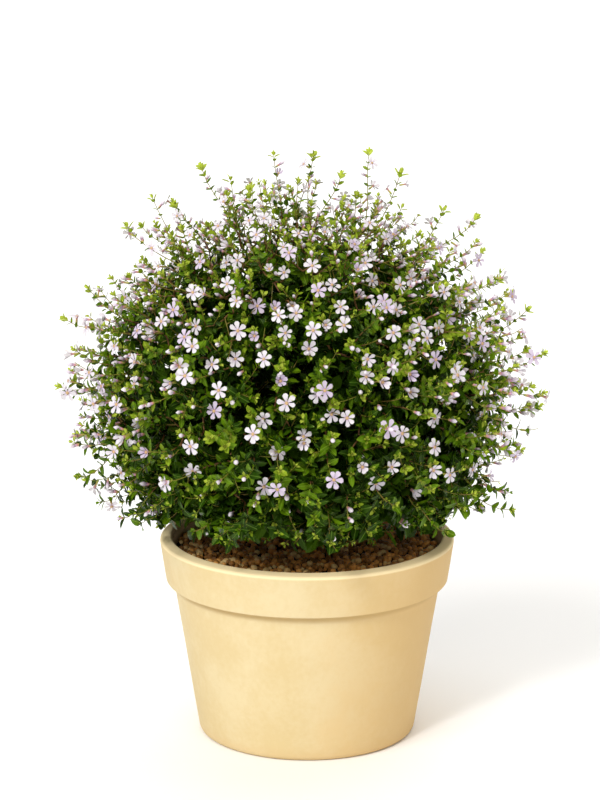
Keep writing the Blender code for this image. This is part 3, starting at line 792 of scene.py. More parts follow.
leaves = {
    "lengths": ((0.15, 0.0124), (0.2, 0.0094), (0.27, 0.0066), (0.34, 0.006)),
    "inner": (0.7, 0.0095), "heart": (0.58, 0.0125),
    "outerLoss": 0.17, "overRimLoss": 0.34, "youngLoss": 0.1, "sizes": (0.82, 1.16),
    "widths": (0.86, 1.12), "broadFrom": 0.007,
    "low": (0.232, 0.152), "high": (0.272, 0.35), "outer": (0.82, 0.94), "overRim": (0.088, 0.128),
    "sideLight": 0.7, "duskShift": 0.78, "highShift": 0.4, "outerShift": 0.16,
    "youngRun": 0.014, "paleBelow": 0.0068, "steps": (0.85, 1.2),
    "mix": 0.5, "mixTone": 7.3, "mixPair": 0.618,
    "start": (0.001, 0.004), "tipGap": 0.002, "spacing": 0.0036, "openSpacing": 0.0049,
    "wideFrom": 0.0085, "lowSpacing": 0.45,
    "lean": 58.0, "tipLean": 32.0, "leanWander": 11.0, "roll": 0.25, "sway": 0.3, "toSky": 0.12,
    "deepTo": 0.67, "duskDeep": 0.2, "midFrom": 0.8, "youngFrom": 0.45, "highInside": (0.3, 0.6),
    "darkInside": 0.8, "darkInsideHigh": 0.4, "darkTo": 0.35, "freshFrom": 0.84, "freshShift": 0.5,
    "tuftFrom": 0.72, "tuftYoung": 0.8, "tuftLow": 0.65,
    "bare": (0.62, 0.82), "hang": 0.004,
    "tufts": (0.0031, 0.0042), "tuftSizes": (0.8, 1.18), "longTuft": 1.4,
    "tuftLean": (16.0, 60.0), "tuftSize": (0.62, 1.0), "tuftStep": 0.0012, "tuftOut": 0.0003,
    "axil": 0.0027, "axilSizes": (0.8, 1.25), "axilFrom": 0.78, "axilOut": 0.0008, "axilYoung": 0.75,
    "axilShare": 0.66, "axilOuter": 0.5, "axilLow": 0.75, "axilHigh": 0.3,
    "axilOnward": 0.8, "axilYoungLow": 0.4,
}


def fullLength(height):
    stops = leaves["lengths"]
    for (low, first), (high, second) in zip(stops, stops[1:]):
        if height < high:
            return blend(first, second, max(0.0, (height - low) / (high - low)))
    return stops[-1][1]


def leafItem(stem, heading, out, lean, length, chance, young=False, plain=False):
    roll = chance.uniform(-leaves["roll"], leaves["roll"])
    lean = math.radians(lean + chance.uniform(-leaves["leanWander"], leaves["leanWander"]))
    side = heading.cross(out)
    out = (out + side * roll).normalized()
    tip = (heading * math.cos(lean) + out * math.sin(lean)).normalized()
    face = heading * math.sin(lean) - out * math.cos(lean)
    face = (face + side * chance.uniform(-leaves["sway"], leaves["sway"]) + up * leaves["toSky"]).normalized()
    width = length * chance.uniform(*leaves["widths"])
    shape = chance.randrange(3)
    if not young and (plain or length < leaves["broadFrom"]):
        shape += 3
    return (stem, turnOf(tip, face), (length, width, length), shape, tip)


def addTuft(items, place, heading, turn, size, pairs, chance):
    # a rosette of young leaves: the inmost pair upright, the next ones wider open and larger
    for pair in range(pairs):
        opening = pair / max(1, pairs - 1)
        for way in (0.0, math.pi):
            out = acrossOf(heading, turn + pair * math.pi / 2 + way)
            stem = place - heading * (leaves["tuftStep"] * pair) + out * leaves["tuftOut"]
            lean = blend(*leaves["tuftLean"], opening)
            length = size * blend(*leaves["tuftSize"], opening)
            items.append(leafItem(stem, heading, out, lean, length, chance, young=True))


def leafSize(height, share, low, outer, overRim):
    size = fullLength(height)
    if share < leaves["inner"][0]:
        size = max(size, leaves["inner"][1] if share > leaves["heart"][0] else leaves["heart"][1])
    size *= 1.0 - leaves["outerLoss"] * outer * (1.0 - low)
    return size * (1.0 - leaves["overRimLoss"] * overRim * low)


def leafKind(share, young, mixed, canPale, low, high, dusk, shift, chance):
    # the tone goes by the depth in the crown, the height and a draw for each spray; darker kinds deep inside
    # and low down are painted shade, lighter kinds high up painted light
    if share < leaves["deepTo"] + leaves["duskDeep"] * dusk:
        return ("deep", "dark", "mid")[sum(high >= step for step in leaves["highInside"])]
    if young > leaves["youngFrom"] and share > leaves["midFrom"]:
        return "fresh" if canPale and chance.random() > low else "mid"
    if share < leaves["midFrom"]:
        return "dark" if mixed < leaves["darkInside"] - leaves["darkInsideHigh"] * high else "mid"
    if mixed < leaves["darkTo"] + shift:
        return "dark"
    return "fresh" if canPale and mixed > leaves["freshFrom"] + leaves["freshShift"] * shift else "mid"


def addSprig(kinds, stem, heading, out, turn, low, chance):
    # a small pale pair in a leaf's axil, on the side that the light reaches; low down it is less often of the
    # palest kind, as painted shade
    toLight = 1.0 if out.dot(stem - crown["centre"]) + out.z > 0.0 else -1.0
    sprig = (heading * leaves["axilOnward"] + out * toLight).normalized()
    kind = "young" if chance.random() < leaves["axilYoung"] - leaves["axilYoungLow"] * low else "fresh"
    size = leaves["axil"] * chance.uniform(*leaves["axilSizes"])
    addTuft(kinds[kind], stem + sprig * leaves["axilOut"], sprig, turn, size, 1, chance)


def endShoot(limb, kinds, turn, chance):
    # the tuft at the tip of a shoot; inside the crown and low down it takes darker kinds, as painted shade
    tip = limb["path"][-1]
    share = crownShare(tip)
    low = ramp(tip.z, *leaves["low"])
    kind = "dark"
    if share > leaves["tuftFrom"]:
        youthful = share > leaves["tuftYoung"] and chance.random() > leaves["tuftLow"] * low
        kind = "young" if youthful else "fresh"
        if kind == "fresh" and chance.random() < low:
            kind = "mid"
    size = blend(*leaves["tufts"], 1.0 - low)
    size *= chance.uniform(*leaves["tuftSizes"]) * (leaves["longTuft"] if limb["long"] else 1.0)
    heading = (tip - limb["path"][-2]).normalized()
    addTuft(kinds[kind], tip, heading, turn, size, 2 if limb["kind"] == "side" else 3, chance)


def dressShoot(limb, kinds, chance):
    # pairs of leaves that turn a quarter each, smaller and paler towards the tip, and a tuft at the end
    isLimb = limb["kind"] == "limb"
    if isLimb and limb["level"] < 1:
        return
    path = limb["path"]
    length = pathLength(path)
    turn = chance.uniform(0.0, math.pi)
    tone = chance.random()
    distance = chance.uniform(*leaves["start"])
    pair = 0
    while distance < length - (0.0 if isLimb else leaves["tipGap"]):
        stem, heading = along(path, distance / length)
        share = crownShare(stem)
        radius = offAxis(stem)
        low = ramp(stem.z, *leaves["low"])
        high = ramp(stem.z, *leaves["high"])
        outer = ramp(share, *leaves["outer"])
        overRim = ramp(radius, *leaves["overRim"])
        young = 0.0 if isLimb else max(0.0, 1.0 - (length - distance) / leaves["youngRun"]) * (1.0 - low)
        # dusk darkens the low leaves, less at the sides, as painted shade; high and outer leaves are shifted
        # to lighter kinds as painted light
        dusk = low * (1.0 - leaves["sideLight"] * overRim * abs(stem.x) / max(radius, 1e-6))
        size = leafSize(stem.z, share, low, outer, overRim)
        size *= (1.0 - leaves["youngLoss"] * young) * chance.uniform(*leaves["sizes"])
        lean = blend(leaves["lean"], leaves["tipLean"], young)
        shift = leaves["duskShift"] * dusk - leaves["highShift"] * high
        shift -= leaves["outerShift"] * outer * (1.0 - dusk)
        mixed = tone + leaves["mix"] * ((leaves["mixTone"] * tone + leaves["mixPair"] * pair) % 1.0 - 0.5)
        kind = leafKind(share, young, mixed, size < leaves["paleBelow"], low, high, dusk, shift, chance)
        bare = leaves["bare"][0] < share < leaves["bare"][1] and chance.random() < growth["openTop"] * high
        quarter = turn + pair * math.pi / 2
        for way in () if bare else (0.0, math.pi):
            out = acrossOf(heading, quarter + way)
            item = leafItem(stem, heading, out, lean, size, chance, plain=kind == "deep")
            if (stem + item[4] * size).z > underside(stem) - leaves["hang"]:
                kinds[kind].append(item)
        gain = leaves["axilOuter"] * outer - leaves["axilLow"] * low - leaves["axilHigh"] * high
        if share > leaves["axilFrom"] and not isLimb and chance.random() < leaves["axilShare"] * (1.0 + gain):
            addSprig(kinds, stem, heading, acrossOf(heading, quarter), turn, low, chance)
        pair += 1
        gap = blend(leaves["spacing"], leaves["openSpacing"], outer)
        gap *= max(1.0, size / leaves["wideFrom"]) * (1.0 + leaves["lowSpacing"] * low)
        distance += gap * chance.uniform(*leaves["steps"])
    if not isLimb:
        endShoot(limb, kinds, turn + pair * math.pi / 2, chance)


# Side shoots: short leafy twigs that make the crown full behind its surface

twig = {
    "radius": 0.00046, "openFrom": 0.62, "within": 0.96,
    "onward": 0.75, "away": (0.7, 1.1), "rise": 0.2, "endRise": 0.35,
    "onShoots": 0.4, "shootPlaces": (0.1, 0.3), "shootLengths": (0.012, 0.018),
    "places": (0.25, 0.55, 0.85), "finePlaces": (0.5,), "fineFrom": 4, "fineShare": 0.6,
    "lowPlaces": (0.2, 0.4, 0.6, 0.8), "lowTo": 0.2, "lowLevels": 6,
    "limbLengths": (0.015, 0.028), "wander": 0.1,
    "onBoughs": 34, "boughFrom": 0.3, "boughLengths": (0.018, 0.04),
}


def sideTwig(path, share, lengths, chance):
    start, heading = along(path, share)
    openness = growth["openTop"] * ramp(start.z, *leaves["high"])
    if crownShare(start) > twig["openFrom"] and chance.random() < openness:
        return []
    side = acrossOf(heading, chance.uniform(0.0, math.tau))
    away = heading * twig["onward"] + side * chance.uniform(*twig["away"])
    away = (away + up * twig["rise"]).normalized()
    end = start + away * chance.uniform(*lengths)
    if crownShare(end) > twig["within"] or end.z < underside(end):
        return []
    path = bent(start, away, end, (away + up * twig["endRise"]).normalized(), growth["limbSteps"])
    return [limbOf("side", path, twig["radius"], growth["tipRadius"])]


def addSideShoots(limbs, masses, chance):
    added = []
    for limb in limbs:
        path = limb["path"]
        if limb["kind"] == "shoot":
            if chance.random() < twig["onShoots"]:
                share = chance.uniform(*twig["shootPlaces"])
                added += sideTwig(path, share, twig["shootLengths"], chance)
            continue
        places = twig["places"] if limb["level"] < twig["fineFrom"] else twig["finePlaces"]
        if path[-1].z < twig["lowTo"] and limb["level"] < twig["lowLevels"]:
            places = twig["lowPlaces"]
        for share in places:
            if len(places) > 1 or chance.random() < twig["fineShare"]:
                share += chance.uniform(-twig["wander"], twig["wander"])
                added += sideTwig(path, share, twig["limbLengths"], chance)
    for mass in masses:
        path = boughPath(mass)
        for index in range(twig["onBoughs"]):
            share = blend(twig["boughFrom"], 1.0, (index + chance.random()) / twig["onBoughs"])
            added += sideTwig(path, share, twig["boughLengths"], chance)
    return added


# Flowers and buds

blossom = {
    "openShare": 0.58, "budShare": 0.42, "leastBuds": 0.15, "longShare": 0.75,
    "foot": 0.012, "frontRise": 0.042, "footRun": 0.085,
    "topLoss": 0.05, "top": (0.31, 0.37),
    "places": ((0.003, 0.008), (0.01, 0.018)), "longPlaces": (0.009, 0.016, 0.024),
    "apart": 0.0122, "faceLift": 0.42, "wander": 0.3,
    "clearWidth": 0.0054, "clearDepth": 0.022, "clearReach": 0.62, "clearBehind": 0.0005,
    "small": (0.27, 0.38), "smallest": 0.74, "openSizes": (0.9, 1.08), "budSizes": (0.74, 1.22),
}


def facingAt(place, chance):
    out = (place - crown["centre"]).normalized()
    level = Vector((out.x, out.y, blossom["faceLift"] * out.z))
    if level.length < 0.2:
        level = Vector((chance.uniform(-1, 1), -1.0, 0.5))
    wander = Vector([chance.uniform(-1, 1) for axis in range(3)])
    return (level.normalized() + wander * blossom["wander"]).normalized()


def dealBlossom(shoots, chance):
    opened, buds = [], []
    for limb in shoots:
        path = limb["path"]
        tip = path[-1]
        length = pathLength(path)
        front = max(0.0, -tip.y / math.hypot(tip.x, tip.y, 1e-6))
        foot = rimTop + blossom["foot"] + blossom["frontRise"] * front
        plenty = clamp((tip.z - foot) / blossom["footRun"])
        plenty *= 1.0 - blossom["topLoss"] * ramp(tip.z, *blossom["top"])
        places = [chance.uniform(*span) for span in blossom["places"]]
        for back in blossom["longPlaces"] if limb["long"] else places:
            stem, heading = along(path, max(0.0, 1.0 - back / length))
            side = acrossOf(heading, chance.uniform(0.0, math.tau))
            facing = (heading * 0.5 + side).normalized() if limb["long"] else facingAt(stem, chance)
            draw = chance.random()
            budded = draw < (blossom["openShare"] + blossom["budShare"]) * max(plenty, blossom["leastBuds"])
            if draw < blossom["openShare"] * plenty or (limb["long"] and draw < blossom["longShare"]):
                centre = stem + facing * flower["tubeLength"]
                budded = any((centre - other[0]).length <= blossom["apart"] for other in opened)
                if not budded:
                    opened.append((centre, facing))
            if budded:
                buds.append((stem + facing * flower["budOut"], facing))
    return opened, buds


def clearSight(kinds, opened):
    # no leaf stands right before an open flower
    flat = [(kind, index) for kind in kinds for index in range(len(kinds[kind]))]
    tree = kdtree.KDTree(len(flat))
    for number, (kind, index) in enumerate(flat):
        item = kinds[kind][index]
        tree.insert(item[0] + item[4] * (item[2][0] * 0.5), number)
    tree.balance()
    gone = set()
    for centre, facing in opened:
        middle = centre + facing * (blossom["clearDepth"] * 0.5)
        for place, number, distance in tree.find_range(middle, blossom["clearDepth"] * blossom["clearReach"]):
            side = place - centre
            ahead = side.dot(facing)
            if ahead >= -blossom["clearBehind"] and (side - facing * ahead).length < blossom["clearWidth"]:
                gone.add(flat[number])
    for kind in kinds:
        kinds[kind] = [item for index, item in enumerate(kinds[kind]) if (kind, index) not in gone]
    return len(gone)


def flowerItems(places, sizes, shapes, chance):
    items = []
    for centre, facing in places:
        spin = acrossOf(facing, chance.uniform(0.0, math.tau))
        scale = blend(1.0, blossom["smallest"], ramp(centre.z, *blossom["small"])) * chance.uniform(*sizes)
        items.append((centre, turnOf(spin, facing), (scale, scale, scale), chance.randrange(shapes)))
    return items


# The crown is grown

masses = massHeadings()
dealTips(masses)
limbs = []
for mass in masses:
    path = boughPath(mass)
    leaving = (path[-1] - path[-2]).normalized()
    stemEnd = path[-1] + leaving * growth["stemLength"]
    radius = growth["stemRadius"]
    stem = [path[-1] - leaving * growth["stemSunk"], stemEnd]
    limbs.append(limbOf("limb", stem, radius, growth["stemTaper"] * radius))
    grow(stemEnd, leaving, mass["tips"], 0, growth["stemTaper"] * radius, limbs)
chance = random.Random(growth["seed"] + 1)
sides = addSideShoots(limbs, masses, chance)
shoots = [limb for limb in limbs if limb["kind"] == "shoot"]
print("crown grown:", len(limbs), "limbs,", len(shoots), "shoots,", len(sides), "side shoots")

kinds = {"deep": [], "dark": [], "mid": [], "fresh": [], "young": []}
for limb in limbs + sides:
    dressShoot(limb, kinds, chance)
opened, buds = dealBlossom(shoots, random.Random(growth["seed"] + 2))
cleared = clearSight(kinds, opened)
print("leaves:", {kind: len(items) for kind, items in kinds.items()}, "cleared", cleared)
print("flowers:", len(opened), "buds:", len(buds))

# two tones; cloud scale, speck scale and speck share; roughness; scale, depth and strength of the grain
stemTones = {
    "bark": ((0.105, 0.048, 0.026), (0.225, 0.125, 0.07), (260.0, 1400.0, 0.7), 0.8, (900.0, 0.0006, 1.0)),
    "redTwig": ((0.15, 0.06, 0.018), (0.23, 0.115, 0.034), (120.0, 900.0, 0.6), 0.6, (1500.0, 0.0002, 1.0)),
    "greenStem": ((0.25, 0.26, 0.03), (0.27, 0.18, 0.035), (60.0, 700.0, 0.5), 0.5, (1500.0, 0.0001, 1.0)),
}
barkFinish, twigFinish, greenFinish = [mottledFinish(name, *tones) for name, tones in stemTones.items()]
makeWood(masses, barkFinish)

woody, green = [], []
for limb in limbs + sides:
    path, first, last = limb["path"], limb["radius"], limb["end"]
    if limb["kind"] == "limb":
        woody.append((path, first, last))
    elif limb["kind"] == "shoot":
        middle = blend(first, last, 0.5)
        woody.append((path[:3], first, middle))
        green.append((path[2:], middle, last))
    else:
        green.append((path, first, last))
settle(makeTwigs("woodyTwigs", woody, growth["woodySides"], twigFinish))
settle(makeTwigs("greenStems", green, growth["greenSides"], greenFinish))
print("twigs:", len(woody), "woody,", len(green), "green")

# base, shade and midrib colours, roughness, share of the midrib and gloss of each kind; the deep kind, for
# leaves inside the crown, is painted shade
leafTones = {
    "deep": ((0.019, 0.053, 0.002), (0.011, 0.033, 0.001), (0.1, 0.17, 0.03), 0.3, 0.3, 0.12),
    "dark": ((0.021, 0.062, 0.002), (0.01, 0.032, 0.001), (0.16, 0.28, 0.04), 0.18, 0.45, 0.16),
    "mid": ((0.105, 0.203, 0.005), (0.059, 0.125, 0.002), (0.26, 0.39, 0.04), 0.22, 0.4, 0.14),
    "fresh": ((0.24, 0.342, 0.018), (0.156, 0.236, 0.01), (0.38, 0.48, 0.06), 0.3, 0.35, 0.14),
    "young": ((0.405, 0.492, 0.058), (0.308, 0.384, 0.036), (0.51, 0.56, 0.12), 0.36, 0.25, 0.14),
}
broadOutline = ((0.0, 0.0), (0.11, 0.46), (0.3, 0.9), (0.56, 1.0), (0.82, 0.66), (1.0, 0.0))
smallOutline = ((0.0, 0.0), (0.32, 0.98), (0.72, 0.86), (1.0, 0.0))
youngOutline = ((0.0, 0.0), (0.34, 0.92), (0.74, 0.84), (1.0, 0.0))
# outline, width, fold, droop and twist
mature = patternSet("matureLeaf", leafPattern, (
    (broadOutline, 0.52, 0.36, 0.2, 0.0), (broadOutline, 0.49, 0.48, 0.08, 0.14),
    (broadOutline, 0.54, 0.26, 0.3, -0.16), (smallOutline, 0.6, 0.24, 0.14, 0.0),
    (smallOutline, 0.54, 0.34, 0.04, 0.1), (smallOutline, 0.66, 0.18, 0.22, -0.12),
))
juvenile = patternSet("youngLeaf", leafPattern, (
    (youngOutline, 0.56, 0.55, -0.06, 0.0), (youngOutline, 0.5, 0.7, -0.16, 0.0),
    (youngOutline, 0.62, 0.45, 0.08, 0.0),
))
for kind, items in kinds.items():
    finish = bladeFinish("leaf" + kind.title(), *leafTones[kind])
    patterns = juvenile if kind == "young" else mature
    settle(makeScatter(f"leaves_{kind}", items, patterns, finish))
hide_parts(*[f"foliage_{mass['name']}" for mass in masses])

chance = random.Random(growth["seed"] + 3)
# lift, cup, size of each petal, and seed
petals = patternSet("openPetals", petalsPattern, (
    (0.1, -0.1, (1.0, 0.98, 1.02, 1.0, 0.97, 1.0), 1), (0.3, -0.28, (1.0, 0.84, 0.84, 1.04, 1.0, 1.0), 2),
    (0.02, 0.06, (1.0, 1.0, 0.8, 0.8, 1.0, 1.02), 3), (0.42, 0.02, (0.94, 1.0, 0.92, 0.84, 0.82, 0.94), 4),
    (0.85, 0.2, (0.8, 0.86, 0.78, 0.84, 0.8, 0.82), 5),
))
# (radius, height) of each ring, and number of sides
turnedParts = {
    "throat": (((0.0011, -0.0008), (0.0011, 0.0005), (0.0001, 0.0005)), 7),
    "tube": (((0.0005, -0.0066), (0.0009, -0.0056), (0.00075, -0.0018), (0.0011, -0.0004)), 6),
    "budHead": (((0.0007, -0.0006), (0.0013, 0.0008), (0.0014, 0.0021), (0.0004, 0.004)), 7),
    "budTube": (((0.0004, -0.0044), (0.0008, -0.003), (0.001, -0.0002)), 6),
}
parts = {name: patternSet(name, turnedPattern, [shape]) for name, shape in turnedParts.items()}
whitish = petalFinish("petalPale", (0.675, 0.648, 0.69), (0.42, 0.28, 0.5))
lilac = petalFinish("petalLilac", (0.58, 0.51, 0.63), (0.34, 0.2, 0.44))
throatFinish = rampFinish("throat", (
    (0.0, (0.42, 0.22, 0.32)), (0.45, (0.56, 0.34, 0.22)), (1.0, (0.58, 0.4, 0.16)),
), 0.55)
tubeFinish = rampFinish("tube", (
    (0.0, (0.16, 0.26, 0.03)), (0.45, (0.42, 0.4, 0.07)),
    (0.75, (0.55, 0.26, 0.2)), (1.0, (0.5, 0.28, 0.46)),
), 0.5)
budFinish = rampFinish("bud", (
    (0.0, (0.48, 0.32, 0.42)), (0.4, (0.68, 0.56, 0.7)), (1.0, (0.8, 0.76, 0.82)),
), 0.55)
pale = [item for index, item in enumerate(opened) if index % 4 != 3]
deeper = [item for index, item in enumerate(opened) if index % 4 == 3]
paleItems = flowerItems(pale, blossom["openSizes"], 5, chance)
deepItems = flowerItems(deeper, blossom["openSizes"], 5, chance)
plainItems = [(place, turn, size, 0) for place, turn, size, shape in paleItems + deepItems]
budItems = flowerItems(buds, blossom["budSizes"], 1, chance)
for name, items, patterns, finish in (
    ("petals_pale", paleItems, petals, whitish), ("petals_lilac", deepItems, petals, lilac),
    ("flowerThroats", plainItems, parts["throat"], throatFinish),
    ("flowerTubes", plainItems, parts["tube"], tubeFinish),
    ("budHeads", budItems, parts["budHead"], budFinish), ("budTubes", budItems, parts["budTube"], tubeFinish),
):
    settle(makeScatter(name, items, patterns, finish))
print("blossom set")


# Pot

pot = {
    "rim": 0.201, "rimEdge": 0.1362, "mouth": 0.1852, "rimFillet": 0.0024, "mouthFillet": 0.0012,
    "bandFoot": 0.192, "bandHeight": 0.107, "bandFillet": 0.0014,
    "bodyTop": 0.182, "bodyTopHeight": 0.1064, "base": 0.1476, "baseFillet": 0.0045,
    "floor": 0.01, "floorWidth": 0.136, "floorFillet": 0.005,
    "steps": 160, "filletSteps": 7, "pointGap": 0.006,
    "holes": 3, "holeRadius": 0.006, "holeCircle": 0.036, "holeSides": 28,
    # the uneven wall: its waves as depth and scale, and the part that stays even
    "swells": ((0.00022, 22.0), (0.00007, 95.0)), "evenWithin": 0.05, "evenBelow": 0.001,
}


def filleted(corners):
    outline = []
    for index, (radius, height, fillet) in enumerate(corners):
        corner = Vector((radius, height))
        if not fillet:
            outline.append(corner)
            continue
        before = (Vector(corners[index - 1][:2]) - corner).normalized()
        after = (Vector(corners[index + 1][:2]) - corner).normalized()
        halfAngle = before.angle(after) / 2
        centre = corner + (before + after).normalized() * (fillet / math.sin(halfAngle))
        reach = fillet / math.tan(halfAngle)
        start = corner + before * reach - centre
        end = corner + after * reach - centre
        for step in range(pot["filletSteps"] + 1):
            outline.append(centre + start.slerp(end, step / pot["filletSteps"]).normalized() * fillet)
    return outline


def filled(outline, gap):
    # more points on the long straight runs, so that slight unevenness can show there
    full = [outline[0]]
    for before, after in zip(outline, outline[1:]):
        pieces = max(1, round((after - before).length / gap))
        full += [before.lerp(after, piece / pieces) for piece in range(1, pieces + 1)]
    return full


def turned(name, outline, steps, uneven):
    # a body turned round Z, whose outline may start and end on the axis
    verts, faces, rings = [], [], []
    for point in outline:
        count = 1 if point.x < 1e-6 else steps
        rings.append([len(verts) + step % count for step in range(steps)])
        for angle in anglesOf(steps)[:count]:
            verts.append(uneven(Vector((point.x * math.cos(angle), point.x * math.sin(angle), point.y))))
    for low, high in zip(rings, rings[1:]):
        for step in range(steps):
            after = (step + 1) % steps
            faces.append(list(dict.fromkeys((low[step], high[step], high[after], low[after]))))
    mesh = newMesh(name, verts, faces)
    mesh.shade_smooth()
    bm = bmesh.new()
    bm.from_mesh(mesh)
    bmesh.ops.recalc_face_normals(bm, faces=bm.faces)
    bm.to_mesh(mesh)
    bm.free()
    return addObject(name, mesh)


def unevenClay(place):
    radius = offAxis(place)
    if radius < pot["evenWithin"] or place.z < pot["evenBelow"]:
        return place
    swell = sum(depth * noise.noise(place * scale) for depth, scale in pot["swells"])
    return place + Vector((place.x, place.y, 0.0)) * (swell / radius)


def drainCutter(index):
    bm = bmesh.new()
    bmesh.ops.create_cone(
        bm, cap_ends=True, segments=pot["holeSides"], radius1=pot["holeRadius"], radius2=pot["holeRadius"],
        depth=3 * pot["floor"],
    )
    middle = direction(math.tau * index / pot["holes"], 0.0) * pot["holeCircle"]
    bmesh.ops.translate(bm, verts=bm.verts, vec=middle + up * (pot["floor"] / 2))
    return bpy.data.objects.new(f"drain{index}", meshFrom(bm, f"drain{index}"))


def makePot():
    outline = filleted((
        (0.0, pot["floor"], 0.0),
        (pot["floorWidth"] / 2, pot["floor"], pot["floorFillet"]),
        (pot["mouth"] / 2, rimTop, pot["mouthFillet"]),
        (pot["rim"] / 2, pot["rimEdge"], pot["rimFillet"]),
        (pot["bandFoot"] / 2, pot["bandHeight"], pot["bandFillet"]),
        (pot["bodyTop"] / 2, pot["bodyTopHeight"], 0.0),
        (pot["base"] / 2, 0.0, pot["baseFillet"]),
        (0.0, 0.0, 0.0),
    ))
    piece = turned("potBody", filled(outline, pot["pointGap"]), pot["steps"], unevenClay)
    cutters = bpy.data.collections.new("drainCutters")
    for index in range(pot["holes"]):
        cutters.objects.link(drainCutter(index))
    cut = piece.modifiers.new("Drain holes", "BOOLEAN")
    cut.operation = "DIFFERENCE"
    cut.operand_type = "COLLECTION"
    cut.collection = cutters
    piece = frozen(piece)
    for cutter in list(cutters.objects):
        bpy.data.objects.remove(cutter)
    bpy.data.collections.remove(cutters)
    piece.data.shade_smooth()
    return piece


clay = {
    "preview": (0.82, 0.64, 0.36), "matt": 0.72, "roughness": (0.66, 0.8),
    "mottling": ((0.672, 0.527, 0.274), (0.72, 0.595, 0.352), 16.0, 260.0, 0.45),
    "relief": (520.0, 0.0004, 0.35),
    "stainClouds": (9.0, 6.0, 0.6),
    # start and end of each fade, and its share at both
    "stain": (0.52, 0.74, 0.0, 0.55),
    "foot": (0.0, 0.012, 0.45, 0.0),
    # the shaded side: painted shade, the clay warmer and darker towards +x
    "shadedSide": (-0.02, 0.09, 0.0, 0.6),
    # the same, measured from the rim's edge, the mouth's wall or the band's foot
    "litLip": (-0.0022, -0.001, 0.0, 0.95),
    "within": (-0.0012, -0.0004, 0.8, 0.0),
    "overSeam": (0.001, 0.003, 0.0, 1.0),
    "underBand": (-0.0062, -0.0022, 0.0, 0.72),
    "bandFoot": (0.0, 0.0008, 1.0, 0.0),
    "outside": (-0.008, -0.006, 0.0, 1.0),
    # the tones of the shaded side and under the band are painted shade, those of the rim's top and the inner
    # wall painted light
    "stainTone": (0.72, 0.515, 0.24), "footTone": (0.66, 0.46, 0.22), "shadedSideTone": (0.69, 0.42, 0.135),
    "litLipTone": (0.985, 0.805, 0.48), "innerTone": (0.93, 0.71, 0.42), "seamTone": (0.5, 0.32, 0.105),
}


def clayFinish():
    # buff clay: soft clouds and fine specks under tones that go by the place on the pot; besides a stain and
    # a darker foot, these are painted light on the rim's top and the inner wall, and painted shade on one
    # side and under the band
    material, tree, shader = newFinish("buffClay", clay["matt"], clay["preview"])
    colour, mask = grouped(tree, mottle, *clay["mottling"])
    place = node(tree, "ShaderNodeTexCoord").outputs["Object"]
    x, y, z = splitOf(tree, place)
    flat = node(tree, "ShaderNodeVectorMath", {"operation": "MULTIPLY"}, {0: place, 1: (1.0, 1.0, 0.0)})
    length = node(tree, "ShaderNodeVectorMath", {"operation": "LENGTH"}, {0: flat.outputs[0]})
    radius = length.outputs["Value"]
    edge, band, wall = pot["rimEdge"], pot["bandHeight"], pot["mouth"] / 2

    def near(value, origin, key, kind="LINEAR"):
        start, end, *shares = clay[key]
        return remap(tree, value, origin + start, origin + end, *shares, kind)

    stain = fade(tree, clouds(tree, place, *clay["stainClouds"]), *clay["stain"])
    foot = fade(tree, z, *clay["foot"])
    # painted shade: warmer and darker on the side away from the key lamp
    shadedSide = fade(tree, x, *clay["shadedSide"])
    # painted light: the rim's top made lighter where the crown's shade falls on it
    litLip = near(z, edge, "litLip", "SMOOTHSTEP")
    # painted light: the inner wall above the band's height made lighter and warmer where the crown's shade
    # falls
    inner = maths(tree, "MULTIPLY", near(radius, wall, "within"), near(z, band, "overSeam"))
    # painted shadow: a darker line just under the band, outside the mouth's wall
    seam = maths(tree, "MULTIPLY", near(z, band, "underBand", "SMOOTHSTEP"), near(z, band, "bandFoot"))
    seam = maths(tree, "MULTIPLY", seam, near(radius, wall, "outside"))
    shades = {"stain": stain, "foot": foot, "shadedSide": shadedSide, "litLip": litLip, "inner": inner, "seam": seam}
    for key, share in shades.items():
        colour = mixColour(tree, share, colour, clay[key + "Tone"])
    fill(tree, shader, {
        "Base Color": colour, "Roughness": remap(tree, mask, 0.0, 1.0, *clay["roughness"]),
        "Normal": grouped(tree, grain, *clay["relief"])[0],
    })
    return material


potBody = makePot()
settle(potBody, clayFinish())
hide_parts("pot")
print("pot turned")


# Growing medium: a rough bed, its near-black tone painted shade between the granules, and the rounded
# granules on it

medium = {
    "bedDepth": 0.0016, "gap": 0.0006, "bedRings": 24, "bedSides": 96, "corner": 0.006,
    "rough": 0.001, "roughScale": 70.0, "roughDepth": 0.004,
    "least": 0.0018, "most": 0.0026, "smaller": 0.75, "smallShare": 0.3, "stretch": (0.85, 1.2),
    "spacing": 0.0047, "rowStep": 0.87, "wander": 0.0012, "tilt": 0.5,
    "edgeGap": 0.8, "heap": 0.0012, "heapScale": 60.0, "lift": (-0.0006, 0.0012), "above": 0.0004, "seed": 5,
    # the bed's near-black tones are painted shade in the gaps between the granules
    "bedShadeTones": ((0.006, 0.003, 0.002), (0.02, 0.008, 0.004)),
    "bedFinish": ((240.0, 900.0, 0.8), 0.9, (700.0, 0.001, 1.0)),
    "finish": ((320.0, 1600.0, 0.8), 0.36, (1300.0, 0.0007, 1.0)),
    # the draw above which a group starts, and its two tones
    "groups": {
        "ochre": (0.84, (0.93, 0.58, 0.2), (0.98, 0.72, 0.33)),
        "red": (0.44, (0.8, 0.33, 0.064), (0.93, 0.47, 0.12)),
        "brown": (-1.0, (0.29, 0.118, 0.02), (0.5, 0.215, 0.042)),
    },
}


def mouthRadius(height):
    return blend(pot["floorWidth"], pot["mouth"], (height - pot["floor"]) / (rimTop - pot["floor"])) / 2


def unevenSoil(place):
    if place.z < soilTop - medium["roughDepth"]:
        return place
    return place + up * (medium["rough"] * noise.noise(place * medium["roughScale"]))


def anyLevel(chance):
    return Vector((chance.uniform(-1, 1), chance.uniform(-1, 1), 0.0))


